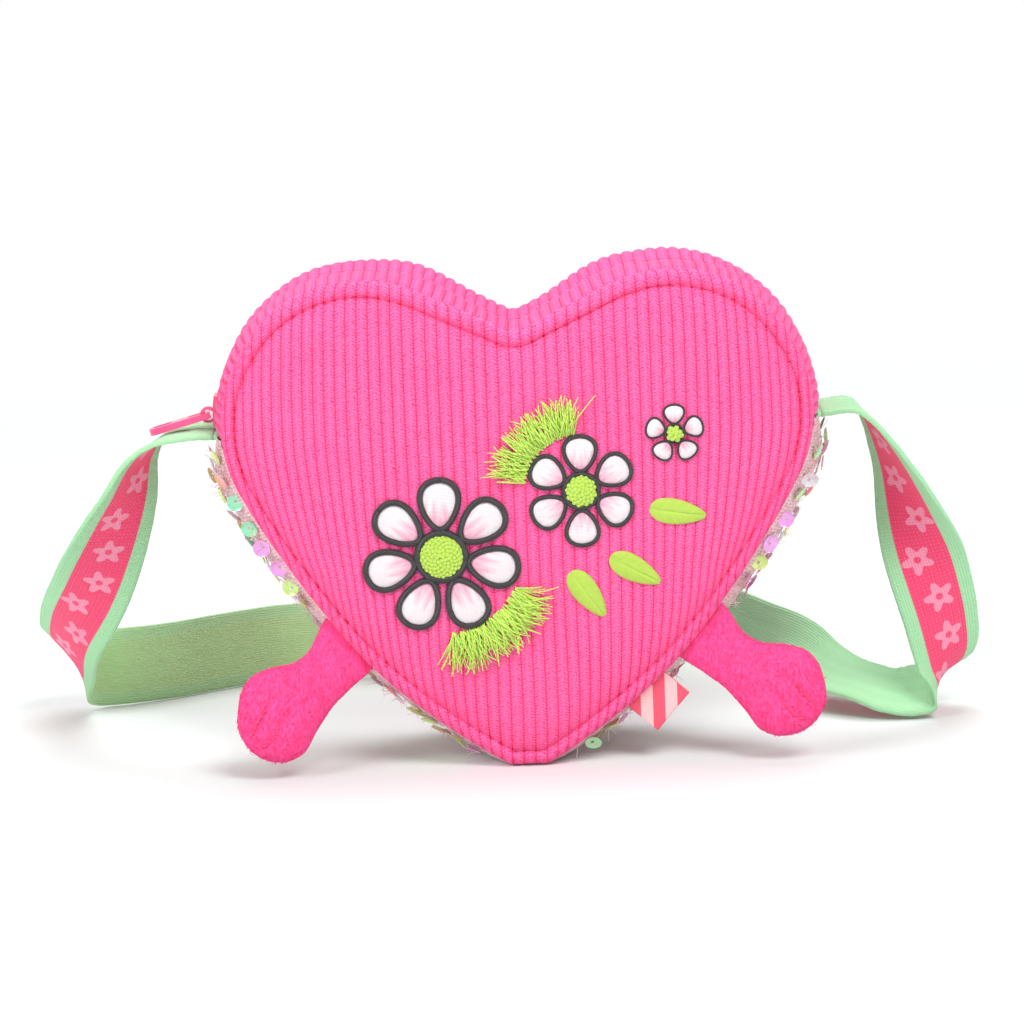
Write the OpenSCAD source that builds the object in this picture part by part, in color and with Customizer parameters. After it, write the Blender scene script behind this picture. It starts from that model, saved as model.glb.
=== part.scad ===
// Heart shaped crossbody purse: corduroy front and back, a zip over the lobes, a sequin mesh
// gusset round the tip, two stuffed arms sewn into the front seam, and a webbing strap.
// The front faces -Y, the foot stands on Z = 0 and the middle of the depth is Y = 0.

/* [Body] */
// Overall width of the heart
body_w = 180; // [170:1:200]
// Height of the heart from its foot to the top of the lobes
body_h = 148; // [136:1:160]
// Depth between the front seam and the rear seam
body_d = 46; // [40:1:60]
// Radius of each lobe
lobe_r = 43.5; // [42:0.5:46]
// Radius of the long side curves
side_r = 208; // [180:1:240]
// Radius of the tip
tip_r = 14; // [13:0.5:18]
// Slope of the straight flanks that run down to the notch
flank_angle = 25; // [20:1:30]
// Radius of the notch between the flanks
notch_r = 6; // [4:0.5:12]
// Depth by which the soft tip is pressed flat where it stands
foot_drop = 1.2; // [0.6:0.1:1.6]

/* [Front and back panels] */
// Width of the rounded rim of a panel
rim_w = 12; // [9:0.5:12.5]
// Rise of the padded front
front_crown = 5.5; // [4:0.5:8]
// Rise of the padded back
back_crown = 3.5; // [2.5:0.5:6]
// Thickness of the corduroy
cord_t = 2; // [1:0.1:2.2]
// Height above the lobe centres at which the front folds forward when the mouth is open
fold_rise = 9.5; // [8:0.5:13]

/* [Gusset] */
// Thickness of the sequin mesh
mesh_t = 0.8; // [0.5:0.1:1.2]
// Thickness of the fabric behind the mesh
backing_t = 1.6; // [1:0.1:2]
// Thickness of the lining
lining_t = 0.5; // [0.3:0.1:0.8]
// Width of the open slit between the two zip strips
slit_w = 1.8; // [1.6:0.1:2.4]
// Diameter of a sequin
sequin_dia = 5.6; // [4:0.1:6]
// Distance between sequins along the gusset
sequin_pitch = 7.4; // [6.8:0.1:10]

/* [Zip] */
// Width of one zip tape
tape_w = 11; // [8:0.5:14]
// Thickness of the zip tape
tape_t = 0.6; // [0.4:0.1:0.9]
// Distance between two teeth
tooth_pitch = 3.2; // [2.6:0.1:5]
// Length of the slider
slider_len = 9; // [7:0.5:10]
// Height of the closed slider's middle above the lobe centres
slider_rise = 3; // [2.5:0.25:3.5]
// Length of the zip pull beyond its pin
pull_len = 18.5; // [16:0.5:20]
// Width of the zip pull
pull_w = 5; // [4.5:0.1:5.6]

/* [Strap] */
// Width of the webbing
strap_w = 25; // [20:0.5:28]
// Thickness of the webbing
strap_t = 1.6; // [1.2:0.1:2]
// Drop from the lobe centres to the place where the strap leaves the gusset
strap_drop = 3.5; // [3:0.25:5]
// Distance between the folds of the stored strap
hank_pitch = 10; // [9.5:0.5:12]
// Length of a straight run of the stored strap
hank_run = 84; // [70:1:90]

/* [Arms and tag] */
// Direction in which an arm leaves the side curve, below the horizontal
arm_angle = 42.5; // [40:0.5:46]
// Length of an arm from its hinge line
arm_len = 42; // [32:1:46]
// Width of a hand
hand_w = 28; // [22:0.5:30]
// Thickness of a hand
hand_t = 10; // [7:0.5:12]
// Angle by which the arms hang forward
arm_forward = 14; // [0:1:20]
// Width of the side tag along the seam
tag_w = 15; // [10:0.5:18]
// Distance by which the side tag stands out
tag_out = 11; // [8:0.5:14]

/* [Embroidery] */
// Outer radius of the large flower
flower_big_r = 24; // [18:0.5:26]
// Outer radius of the middle flower
flower_mid_r = 17; // [12:0.5:18]
// Outer radius of the small flower
flower_small_r = 9; // [6:0.5:10]
// Height of the stitched fill above the corduroy
satin_t = 0.8; // [0.4:0.1:1]
// Width of a stitched outline
outline_w = 1.3; // [0.8:0.1:1.6]

/* [Hidden] */

// Colours
neon_pink = [1.0, 0.19, 0.55];
plush_pink = [0.98, 0.16, 0.50];
lining_pink = [0.96, 0.62, 0.74];
mint = [0.66, 0.92, 0.70];
coral = [1.0, 0.30, 0.38];
mesh_grey = [0.80, 0.70, 0.72];
lime = [0.84, 0.98, 0.38];
satin_white = [0.96, 0.94, 0.94];
thread_black = [0.06, 0.06, 0.07];
foam_white = [0.93, 0.93, 0.90];
silver = [0.80, 0.80, 0.83];
lilac = [0.85, 0.62, 0.90];

// One overrun for every cut, and the usual running clearance
cut = 1;
gap = 0.3;

// Centres of the outline's arcs, each touching the next
lobe_x = body_w / 2 - lobe_r;
lobe_z = body_h - lobe_r;
fold_z = lobe_z + fold_rise;
slider_z = lobe_z + slider_rise;
strap_z = lobe_z - strap_drop;
tip_z = tip_r - foot_drop;
notch_z = lobe_z + (lobe_r + notch_r) / cos(flank_angle) - lobe_x * tan(flank_angle);
flank_len = sqrt(pow(lobe_x, 2) + pow(notch_z - lobe_z, 2) - pow(lobe_r + notch_r, 2));
lobe_to_tip = [-lobe_x, tip_z - lobe_z];
lobe_tip_dist = norm(lobe_to_tip);
side_along = (pow(side_r - lobe_r, 2) - pow(side_r - tip_r, 2) + pow(lobe_tip_dist, 2)) / (2 * lobe_tip_dist);
side_across = sqrt(pow(side_r - lobe_r, 2) - pow(side_along, 2));
to_tip = lobe_to_tip / lobe_tip_dist;
side_x = lobe_x + to_tip[0] * side_along + to_tip[1] * side_across;
side_z = lobe_z + to_tip[1] * side_along - to_tip[0] * side_across;

// Angles at which the arcs meet, on the right half
notch_angle = 90 + flank_angle;
lobe_side_angle = atan2(lobe_z - side_z, lobe_x - side_x);
side_tip_angle = atan2(tip_z - side_z, -side_x);

// Steps along each arc
lobe_steps = 14;
side_steps = 7;
tip_steps = 4;
notch_steps = 4;
dome_steps = 4;

// Depths at which the layers lie, counted inwards from the outline
front_y = -body_d / 2;
back_y = body_d / 2;
gusset_t = mesh_t + backing_t + lining_t;
strip_t = mesh_t + backing_t;
tape_in = strip_t + tape_t;
tooth_h = 1.4;
tooth_seat = 0.12;
tooth_in = tape_in + tooth_seat + tooth_h;
tooth_w = 1.6;
tooth_len = 2.6;
tooth_lap = 0.1;
tooth_y0 = slit_w / 2 - tooth_lap;
tooth_y1 = tooth_y0 + tooth_len;
tape_y0 = slit_w / 2 + gap;
tape_y1 = tape_y0 + tape_w;
flap_z = fold_z + gap;
hinge_y = front_y - front_crown;

// Points on an arc in the XZ plane
function arc(cx, cz, r, a0, a1, n) =
    [for (i = [0:n]) let (a = a0 + (a1 - a0) * i / n) [cx + r * cos(a), cz + r * sin(a)]];
function mirrored(pts) = [for (i = [len(pts) - 1:-1:0]) [-pts[i][0], pts[i][1]]];
function reversed(pts) = [for (i = [len(pts) - 1:-1:0]) pts[i]];
function inner(pts) = [for (i = [1:len(pts) - 2]) pts[i]];
function tail(pts) = [for (i = [1:len(pts) - 1]) pts[i]];
function on_floor(pts, d) = [for (p = pts) [p[0], max(p[1], d)]];
// Angle on a lobe, drawn in by d, at a height
function lobe_angle(z, d) = asin((z - lobe_z) / (lobe_r - d));

// Right half of the outline above or below a height on the lobe, drawn in by d
function right_above(z, d) = concat(
    arc(0, notch_z, notch_r + d, -90, notch_angle - 180, notch_steps),
    arc(lobe_x, lobe_z, lobe_r - d, notch_angle, lobe_angle(z, d), lobe_steps));
function right_below(z, d) = on_floor(concat(
    arc(lobe_x, lobe_z, lobe_r - d, lobe_angle(z, d), lobe_side_angle, floor(lobe_steps / 2)),
    tail(arc(side_x, side_z, side_r - d, lobe_side_angle, side_tip_angle, side_steps)),
    tail(arc(0, tip_z, tip_r - d, side_tip_angle, -90, tip_steps))), d);
// Whole open paths, from the left cut to the right cut and back
function path_above(z, d) = concat(mirrored(right_above(z, d)), tail(right_above(z, d)));
function path_below(z, d) = concat(right_below(z, d), tail(mirrored(right_below(z, d))));
function whole(z, d) = concat(path_above(z, d), inner(path_below(z, d)));
// A ring of the part of the heart that a panel covers
function ring(part, z, d) = part == "flap" ? path_above(z, d)
    : part == "lower" ? path_below(z, d) : whole(z, d);

// A flat plate of the heart between two depths
module plate(part, z, d, y0, y1) {
    translate([0, y1, 0]) rotate([90, 0, 0]) linear_extrude(y1 - y0) polygon(ring(part, z, d));
}
// A band that follows an open path between two insets
module band(outer_path, inner_path, y0, y1) {
    translate([0, y1, 0]) rotate([90, 0, 0]) linear_extrude(y1 - y0)
        polygon(concat(outer_path, reversed(inner_path)));
}

// Faces between two rings of n points that start at a and b, with either diagonal
function strip(a, b, n, closed, flip) = [for (i = [0:n - (closed ? 1 : 2)]) let (j = (i + 1) % n)
    each flip ? [[a + i, a + j, b + i], [a + j, b + j, b + i]]
        : [[a + i, a + j, b + j], [a + i, b + j, b + i]]];
// Faces from an apex to a ring of n points that starts at a
function fan(a, n, apex, closed) = [for (i = [0:n - (closed ? 1 : 2)]) [a + i, a + (i + 1) % n, apex]];
function flipped(faces) = [for (f = faces) reversed(f)];
// A skin joined from rings of equal length, closed at both ends
module skin(rings) {
    n = len(rings[0]);
    last = len(rings) - 1;
    polyhedron(points = [for (r = rings) each r], convexity = 6, faces = concat(
        [[for (i = [n - 1:-1:0]) i]], [for (k = [0:last - 1]) each strip(k * n, (k + 1) * n, n, true, false)],
        [[for (i = [0:n - 1]) last * n + i]]));
}
// Rings of a padded dome that starts at depth y and rises by crown towards side (-1 front, 1 back)
function dome_rings(part, z, d, rim, y, crown, side) = [for (k = [0:dome_steps])
    let (a = 90 * k / dome_steps, r = ring(part, z, d + rim * (1 - cos(a))))
    [for (p = side > 0 ? reversed(r) : r) [p[0], y + side * crown * sin(a), p[1]]]];
function outer_rings(part, z, y, crown, side) = dome_rings(part, z, 0, rim_w, y, crown, side);
function inner_rings(part, z, y, crown, side) =
    dome_rings(part, z, cord_t, rim_w - cord_t, y, crown - cord_t, side);
// Middle of a ring, from which the flat faces of a panel fan out
function middle(ring, z) = [0, ring[0][1], z];
// The padding that fills a dome
module pad(part, z, y, crown, side) {
    closed = part == "whole";
    rings = inner_rings(part, z, y, crown, side);
    n = len(rings[0]);
    top = dome_steps;
    mid = (top + 1) * n;
    polyhedron(convexity = 6, points = concat([for (r = rings) each r], [for (r = rings) middle(r, z)]),
        faces = concat(
            flipped(fan(0, n, mid, closed)), fan(top * n, n, mid + top, closed),
            [for (k = [0:top - 1]) each strip(k * n, (k + 1) * n, n, closed, false)],
            closed ? [] : [for (k = [0:top - 1])
                let (m = mid + k, a = k * n, b = (k + 1) * n, c = a + n - 1, d = b + n - 1)
                each [[c, m, m + 1], [c, m + 1, d], [m, a, b], [m, b, m + 1]]]));
}
// The corduroy shell goes up the outer rings and down the inner ones. Where it is cut at the
// fold, small faces between the rings close the cut.
module shell(part, z, y, crown, side) {
    closed = part == "whole";
    outer = outer_rings(part, z, y, crown, side);
    inner = reversed(inner_rings(part, z, y, crown, side));
    n = len(outer[0]);
    top = dome_steps;
    last = 2 * top + 1;
    mid = (last + 1) * n;
    r = n - 1;
    a = top * n;
    b = a + n;
    polyhedron(convexity = 8,
        points = concat([for (q = outer) each q], [for (q = inner) each q],
            [middle(outer[top], z), middle(inner[0], z)]),
        faces = concat(
            [for (k = [0:top - 1]) each strip(k * n, (k + 1) * n, n, closed, false)],
            [for (k = [top + 1:last - 1]) each strip(k * n, (k + 1) * n, n, closed, true)],
            strip(last * n, 0, n, closed, false),
            fan(a, n, mid, closed), flipped(fan(b, n, mid + 1, closed)),
            closed ? [] : [for (k = [0:top - 1])
                let (e = k * n, f = e + n, g = (last - 1 - k) * n, h = g + n)
                each [[e, f, g], [e, g, h], [f + r, e + r, h + r], [f + r, h + r, g + r]]],
            closed ? [] : [[a, mid, mid + 1], [a, mid + 1, b], [mid, a + r, b + r], [mid, b + r, mid + 1]]));
}

// Panels
module back_panel() {
    color(neon_pink) shell("whole", fold_z, back_y, back_crown, 1);
}
module back_padding() {
    color(foam_white) pad("whole", fold_z, back_y, back_crown, 1);
}
module back_lining() {
    color(lining_pink) plate("whole", fold_z, gusset_t + gap, back_y - lining_t, back_y);
}
module front_panel() {
    color(neon_pink) shell("lower", fold_z, front_y, front_crown, -1);
}
module front_panel_flap() {
    color(neon_pink) shell("flap", flap_z, front_y, front_crown, -1);
}
module front_padding() {
    color(foam_white) pad("lower", fold_z, front_y, front_crown, -1);
}
module front_padding_flap() {
    color(foam_white) pad("flap", flap_z, front_y, front_crown, -1);
}
module front_lining() {
    color(lining_pink) plate("lower", fold_z, gusset_t + gap, front_y, front_y + lining_t);
}
module front_lining_flap() {
    color(lining_pink) plate("flap", flap_z, gusset_t + gap, front_y, front_y + lining_t);
}

// Slots in the gusset for the strap tabs and the arm tabs
tab_in = 8;
arm_tab_t = 1.2;
arm_tab_w = hand_w;
arm_tab_in = gusset_t;
strap_exit_x = lobe_x + sqrt(pow(lobe_r, 2) - pow(strap_z - lobe_z, 2));
gusset_top = strap_z + strap_t / 2;
module strap_slot(side) {
    translate([side > 0 ? strap_exit_x - tab_in : -strap_exit_x - cut, -strap_w / 2, strap_z - strap_t / 2])
        cube([tab_in + cut, strap_w, strap_t + cut]);
}
arm_off = 1.5;
arm_x = side_x + side_r * cos(arm_angle);
arm_z = side_z - side_r * sin(arm_angle);
// Local frame of an arm: X leaves the seam, Y runs to the back, Z runs along the seam
module at_arm(side) {
    mirror([side > 0 ? 0 : 1, 0, 0]) translate([arm_x, front_y, arm_z]) rotate([0, arm_angle, 0]) children();
}
module arm_slot(side) {
    at_arm(side) translate([-arm_tab_in - cut, -cut, -arm_tab_w / 2])
        cube([arm_tab_in + cut + arm_off, arm_tab_t + cut, arm_tab_w]);
}
module gusset_layer(d0, d1) {
    difference() {
        band(path_below(gusset_top, d0), path_below(gusset_top, d1), front_y, back_y);
        for (side = [-1, 1]) {
            strap_slot(side);
            arm_slot(side);
        }
    }
}
module gusset_mesh() {
    color(mesh_grey) gusset_layer(0, mesh_t);
}
module gusset_backing() {
    color(mesh_grey * 0.9) gusset_layer(mesh_t, strip_t);
}
module gusset_lining() {
    color(lining_pink) difference() {
        gusset_layer(strip_t, gusset_t);
        for (y = [front_y - cut, back_y - lining_t]) {
            translate([-body_w, y, -cut]) cube([2 * body_w, lining_t + cut, body_h]);
        }
    }
}

// Zip strips, tapes and teeth over the lobes
function lobe_band(z0, z1, d0, d1) = concat(
    arc(lobe_x, lobe_z, lobe_r - d0, lobe_angle(z1, d0), lobe_angle(z0, d0), 3),
    reversed(arc(lobe_x, lobe_z, lobe_r - d1, lobe_angle(z1, d1), lobe_angle(z0, d1), 3)));
module end_band(side, d0, d1, y0, y1) {
    mirror([side > 0 ? 0 : 1, 0, 0]) translate([0, y1, 0]) rotate([90, 0, 0]) linear_extrude(y1 - y0)
        polygon(lobe_band(gusset_top, fold_z, d0, d1));
}
module rear_zip_strip() {
    color(neon_pink) band(path_above(gusset_top, 0), path_above(gusset_top, strip_t), slit_w / 2, back_y);
}
module front_zip_strip() {
    color(neon_pink) band(path_above(flap_z, 0), path_above(flap_z, strip_t), front_y, -slit_w / 2);
}
module front_strip_end_left() {
    color(neon_pink) end_band(-1, 0, strip_t, front_y, -slit_w / 2);
}
module front_strip_end_right() {
    color(neon_pink) end_band(1, 0, strip_t, front_y, -slit_w / 2);
}
module rear_zip_tape() {
    color(coral) band(path_above(gusset_top, strip_t), path_above(gusset_top, tape_in), tape_y0, tape_y1);
}
module front_zip_tape() {
    color(coral) band(path_above(flap_z, strip_t), path_above(flap_z, tape_in), -tape_y1, -tape_y0);
}
module front_tape_end_left() {
    color(coral) end_band(-1, strip_t, tape_in, -tape_y1, -tape_y0);
}
module front_tape_end_right() {
    color(coral) end_band(1, strip_t, tape_in, -tape_y1, -tape_y0);
}

// A tooth on a lobe at an angle, moved on along the flank, or in the notch
module lobe_tooth(side, a, y0, along = 0) {
    mirror([side > 0 ? 0 : 1, 0, 0]) translate([lobe_x, 0, lobe_z]) rotate([0, -a, 0])
        translate([lobe_r - tooth_in, y0, along - tooth_w / 2]) cube([tooth_h, tooth_y1 - tooth_y0, tooth_w]);
}
module notch_tooth(a, y0) {
    translate([0, 0, notch_z]) rotate([0, -a, 0])
        translate([notch_r + tape_in + tooth_seat, y0, -tooth_w / 2])
            cube([tooth_h, tooth_y1 - tooth_y0, tooth_w]);
}
// Teeth stand on the lobe from angle a0 up to the notch
tooth_step = tooth_pitch / lobe_r * 180 / PI;
tooth_margin = tooth_step / 2;
module tooth_rows(a0, y0) {
    for (side = [-1, 1]) {
        for (a = [a0:tooth_step:notch_angle - tooth_margin]) {
            lobe_tooth(side, a, y0);
        }
        for (t = [tooth_pitch / 2:tooth_pitch:flank_len - tooth_pitch / 2]) {
            lobe_tooth(side, notch_angle, y0, t);
        }
    }
    notch_step = tooth_pitch / (notch_r + tape_in) * 180 / PI;
    notch_count = floor((notch_angle - 90 - tooth_margin) / notch_step);
    for (i = [-notch_count:notch_count]) {
        notch_tooth(-90 + i * notch_step, y0);
    }
}
stop_share = 0.6;
stop_angle = lobe_angle(gusset_top, tooth_in) + tooth_step * stop_share;
first_tooth = stop_angle + tooth_step;
flap_tooth = lobe_angle(flap_z, tape_in) + tooth_step;
module rear_zip_teeth() {
    color(silver) tooth_rows(first_tooth, tooth_y0);
}
module front_zip_teeth() {
    color(silver) tooth_rows(flap_tooth, -tooth_y1);
}
module front_end_teeth() {
    color(silver) for (side = [-1, 1]) {
        for (a = [first_tooth:tooth_step:lobe_angle(fold_z, tape_in) - tooth_margin]) {
            lobe_tooth(side, a, -tooth_y1);
        }
    }
}
module zip_stops() {
    color(silver) for (side = [-1, 1]) {
        mirror([side > 0 ? 0 : 1, 0, 0]) translate([lobe_x, 0, lobe_z]) rotate([0, -stop_angle, 0])
            translate([lobe_r - tooth_in, -tooth_y1, -tooth_w / 2]) cube([tooth_h, 2 * tooth_y1, tooth_w]);
    }
}

// Slider: a channel behind the teeth, a neck through the slit, and an eye for the pull
slider_angle = 180 - asin((slider_z - lobe_z) / lobe_r);
slider_half = slider_len / 2 / lobe_r * 180 / PI;
flange_t = 0.8;
channel_y = tooth_y1 + gap + flange_t;
wing_t = 1;
wing_r = lobe_r - tooth_in - gap - wing_t;
neck_w = 0.9;
neck_len = 5;
top_lift = 0.4;
top_y = 3.3;
bar_w = 1.6;
pull_t = 2;
eye_in = norm([bar_w, pull_t]) / 2 + gap;
eye_t = 0.9;
eye_w = 1.4;
eye_sink = 0.1;
eye_drop = 1.5;
eye_angle = slider_angle + eye_drop / lobe_r * 180 / PI;
eye_r = lobe_r + top_lift + wing_t + eye_in - eye_sink;
module ring_part(r0, r1, y0, y1, half_angle) {
    translate([-lobe_x, 0, lobe_z]) rotate([90, 0, 0]) rotate([0, 0, slider_angle - half_angle])
        rotate_extrude(angle = 2 * half_angle, $fn = 180) translate([r0, -y1]) square([r1 - r0, y1 - y0]);
}
module at_eye() {
    translate([-lobe_x, 0, lobe_z]) rotate([0, 180 - eye_angle, 0]) translate([-eye_r, 0, 0]) children();
}
module zip_slider() {
    neck_half = neck_len / 2 / lobe_r * 180 / PI;
    color(plush_pink) union() {
        ring_part(wing_r, wing_r + wing_t, -channel_y, channel_y, slider_half);
        ring_part(wing_r, lobe_r - tape_in - gap, channel_y - flange_t, channel_y, slider_half);
        ring_part(wing_r, lobe_r - tape_in - gap, -channel_y, flange_t - channel_y, slider_half);
        ring_part(wing_r, lobe_r + top_lift + wing_t, -neck_w / 2, neck_w / 2, neck_half);
        ring_part(lobe_r + top_lift, lobe_r + top_lift + wing_t, -top_y, top_y, slider_half);
        at_eye() rotate([90, 0, 0]) linear_extrude(eye_w, center = true) difference() {
            circle(r = eye_in + eye_t, $fn = 48);
            circle(r = eye_in, $fn = 48);
        }
    }
}

// Pull: a flat loop with its end bar in the eye, a slit for the eye, and a finger slot
pull_angle = 15;
pull_slit = 6.2;
pull_bar = 5;
slot_w = 2.4;
module tongue(x0, x1, w) {
    translate([x0, -w / 2]) square([x1 - w / 2 - x0, w]);
    translate([x1 - w / 2, 0]) circle(d = w, $fn = 48);
}
module zip_pull() {
    slot_x = pull_slit + pull_bar + slot_w / 2;
    color(coral) at_eye() rotate([0, eye_angle - 180 - pull_angle, 0]) mirror([1, 0, 0])
        linear_extrude(pull_t, center = true) difference() {
            tongue(-bar_w / 2, pull_len, pull_w);
            tongue(bar_w / 2, pull_slit, eye_w + 2 * gap);
            tongue(slot_x, pull_len - (pull_w - slot_w) / 2, slot_w);
            translate([slot_x, 0]) circle(d = slot_w, $fn = 48);
        }
}

// Strap tabs, the sewn ends inside the seam
tab_out = 1;
module strap_tab(side) {
    tab_x = side > 0 ? strap_exit_x - tab_in : -strap_exit_x - tab_out;
    color(mint) translate([tab_x, -strap_w / 2, strap_z - strap_t / 2])
        cube([tab_in + tab_out, strap_w, strap_t]);
}
module strap_tab_left() {
    strap_tab(-1);
}
module strap_tab_right() {
    strap_tab(1);
}

// Routes of the free strap: middle of the webbing, then its width direction from the near edge
// to the far edge. The first and last rows only set the direction at the ends.
strap_start_x = strap_exit_x + tab_out;
strap_lead = 8;
strap_left_route = [[-strap_start_x + strap_lead, 0, strap_z, 0, 1, 0], [-strap_start_x, 0, strap_z, 0, 1, 0],
    [-strap_start_x - strap_lead, 0, strap_z, 0, 1, 0], [-108, 0, 99, -0.05, 1, 0],
    [-115, 2, 92, -0.25, 1, 0.1], [-120, 7, 79, -0.55, 0.9, 0.15],
    [-127, 16, 63, -0.75, 0.7, 0.2], [-135, 29, 46, -0.8, 0.55, 0.3], [-143, 45, 31, -0.75, 0.35, 0.6],
    [-145, 62, 19.5, -0.6, 0.1, 0.8], [-138, 73, 13.6, -0.25, 0, 1], [-128, 76, 13, 0, 0, 1],
    [-114, 83, 12.7, 0, 0, 1], [-98, 94, 12.7, 0, 0, 1], [-80, 104, 12.7, 0, 0, 1],
    [-62, 104, 13, 0, 0, 1], [-44, 100, 13.5, 0, 0, 1], [-26, 100, 13.5, 0, 0, 1]];
strap_right_route = [[strap_start_x - strap_lead, 0, strap_z, 0, 1, 0], [strap_start_x, 0, strap_z, 0, 1, 0],
    [strap_start_x + strap_lead, 0, strap_z + strap_t / 2, 0, 1, 0.1], [103.5, 0, 100, 0.1, 1, 0.1],
    [109, 2, 92.5, 0.35, 1, 0], [115, 6, 79, 0.62, 0.9, 0],
    [120, 10, 62, 0.8, 0.65, 0.1], [125, 14, 45, 0.88, 0.45, 0.2], [129, 18.5, 29, 0.9, 0.4, 0.35],
    [130.5, 23, 15.5, 0.7, 0.5, 0.5], [126, 25.5, 8.6, 0.4, 0.75, 0.5], [119.5, 25.5, 6.4, 0.1, 0.92, 0.4],
    [113, 26, 7, 0.05, 0.93, 0.35], [105.5, 30, 8.8, 0.12, 0.96, 0.22], [98, 37, 10, 0.15, 0.97, 0.18],
    [91, 46, 11.2, 0.1, 0.95, 0.27], [84, 58, 13, 0.05, 0.8, 0.55], [77.5, 75, 13.4, 0, 0.45, 0.9],
    [70.5, 98, 13.2, 0, 0.1, 1], [64, 118, 13, 0, 0, 1], [55, 134, 13.2, 0, 0, 1],
    [44, 140, 13.5, 0, 0, 1], [26, 140, 13.5, 0, 0, 1]];
route_steps = 2;
function unit(v) = v / norm(v);
function spline(a, b, c, d, t) = (2 * b + (c - a) * t + (2 * a - 5 * b + 4 * c - d) * t * t
    + (3 * b - a - 3 * c + d) * t * t * t) / 2;
function slope(a, b, c, d, t) = (c - a) / 2 + (2 * a - 5 * b + 4 * c - d) * t
    + (3 * b - a - 3 * c + d) * 1.5 * t * t;
// Each place is a point, a forward direction and a width direction
function place(p, s) = let (f = unit([s[0], s[1], s[2]]), w = [p[3], p[4], p[5]])
    [[p[0], p[1], p[2]], f, unit(w - (w * f) * f)];
function places(route, steps) = [for (i = [1:len(route) - 2], k = [0:steps - 1])
    if (i < len(route) - 2 || k == 0)
        let (q = [for (j = [-1:2]) route[min(i + j, len(route) - 1)]])
        place(spline(q[0], q[1], q[2], q[3], k / steps), slope(q[0], q[1], q[2], q[3], k / steps))];
// The webbing's cross section, a flat bar with its corners taken off
webbing_corner = strap_t / 4;
function webbing_ring(s) = let (w = strap_w / 2, t = strap_t / 2, c = webbing_corner, n = cross(s[1], s[2]))
    [for (q = [[c - w, -t], [w - c, -t], [w, c - t], [w, t - c],
        [w - c, t], [c - w, t], [-w, t - c], [-w, c - t]])
        s[0] + q[0] * s[2] + q[1] * n];
module webbing(spots) {
    skin([for (s = spots) webbing_ring(s)]);
}
module strap_left() {
    color(mint) webbing(places(strap_left_route, route_steps));
}
module strap_right() {
    color(mint) webbing(places(strap_right_route, route_steps));
}

// Stored strap: straight runs on edge, joined by half turns
hank_runs = 5;
hank_y = 100;
hank_z = 13.5;
hank_half = 44;
turn_steps = 12;
function run_side(k) = k % 2 == 0 ? 1 : -1;
function turn(k) = let (s = run_side(k), r = hank_pitch / 2, x = s * (hank_run - hank_half))
    [for (i = [0:turn_steps]) let (a = -90 + 180 * i / turn_steps)
        [[x + s * r * cos(a), hank_y + (k + 0.5) * hank_pitch + r * sin(a), hank_z],
            [-s * sin(a), cos(a), 0], [0, 0, 1]]];
function hank_places() = concat(
    [[[-hank_half, hank_y, hank_z], [1, 0, 0], [0, 0, 1]]],
    [for (k = [0:hank_runs - 2]) each turn(k)],
    [[[hank_half, hank_y + (hank_runs - 1) * hank_pitch, hank_z], [1, 0, 0], [0, 0, 1]]]);
// Least gap between the stored strap and itself, measured on its points
hank_points = [for (s = hank_places()) s[0]];
hank_last = len(hank_points) - 1;
hank_self_gap = min([for (i = [0:hank_last - turn_steps], j = [i + turn_steps:hank_last])
    norm(hank_points[i] - hank_points[j])]) - strap_t;
echo(hank_self_gap = hank_self_gap);
module strap_hank() {
    color(mint) webbing(hank_places());
}
tie_w = 10;
tie_t = 0.6;
tie_gap = 0.15;
module strap_tie() {
    depth = (hank_runs - 1) * hank_pitch + strap_t + 2 * tie_gap;
    height = strap_w + 2 * tie_gap;
    color(lining_pink) translate([0, hank_y + (hank_runs - 1) * hank_pitch / 2, hank_z]) difference() {
        cube([tie_w, depth + 2 * tie_t, height + 2 * tie_t], center = true);
        cube([tie_w + cut, depth, height], center = true);
    }
}

// Arms: stations along the arm as shares of its length, width and thickness
arm_along_shares = [-0.03, 0, 0.07, 0.2, 0.34, 0.5, 0.66, 0.82, 0.93, 1];
arm_width_shares = [0.82, 0.84, 0.8, 0.7, 0.7, 0.86, 1, 0.98, 0.76, 0.26];
arm_thick_shares = [0.1, 0.24, 0.34, 0.52, 0.66, 0.88, 1, 0.9, 0.56, 0.12];
arm_lift_shares = [0, 0, 0.01, 0.03, 0.055, 0.08, 0.095, 0.1, 0.1, 0.1];
arm_sides = 14;
skin_t = 1.2;
function arm_ring(k, inset) = let (
    half_w = max(hand_w * arm_width_shares[k] / 2 - inset, inset / 2),
    half_t = max(hand_t * arm_thick_shares[k] / 2 - inset, inset / 8),
    x = arm_len * arm_along_shares[k])
    [for (i = [0:arm_sides - 1]) let (a = 360 * i / arm_sides)
        [x, half_t * sin(a), half_w * cos(a) + arm_len * arm_lift_shares[k]]];
module arm_place(side) {
    at_arm(side) translate([arm_off, arm_tab_t / 2, 0]) rotate([0, 0, -arm_forward]) children();
}
arm_last = len(arm_along_shares) - 1;
module arm_form(first, last, inset) {
    skin([for (k = [first:last]) arm_ring(k, inset)]);
}
module arm_skin(side) {
    color(plush_pink) arm_place(side) difference() {
        arm_form(0, arm_last, 0);
        arm_form(2, arm_last - 1, skin_t);
    }
}
module arm_stuffing(side) {
    color(foam_white) arm_place(side) arm_form(2, arm_last - 1, skin_t);
}
module arm_tab(side) {
    color(plush_pink) at_arm(side) translate([-arm_tab_in, 0, -arm_tab_w / 2])
        cube([arm_tab_in, arm_tab_t, arm_tab_w]);
}
module arm_skin_left() {
    arm_skin(-1);
}
module arm_skin_right() {
    arm_skin(1);
}
module arm_stuffing_left() {
    arm_stuffing(-1);
}
module arm_stuffing_right() {
    arm_stuffing(1);
}
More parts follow.
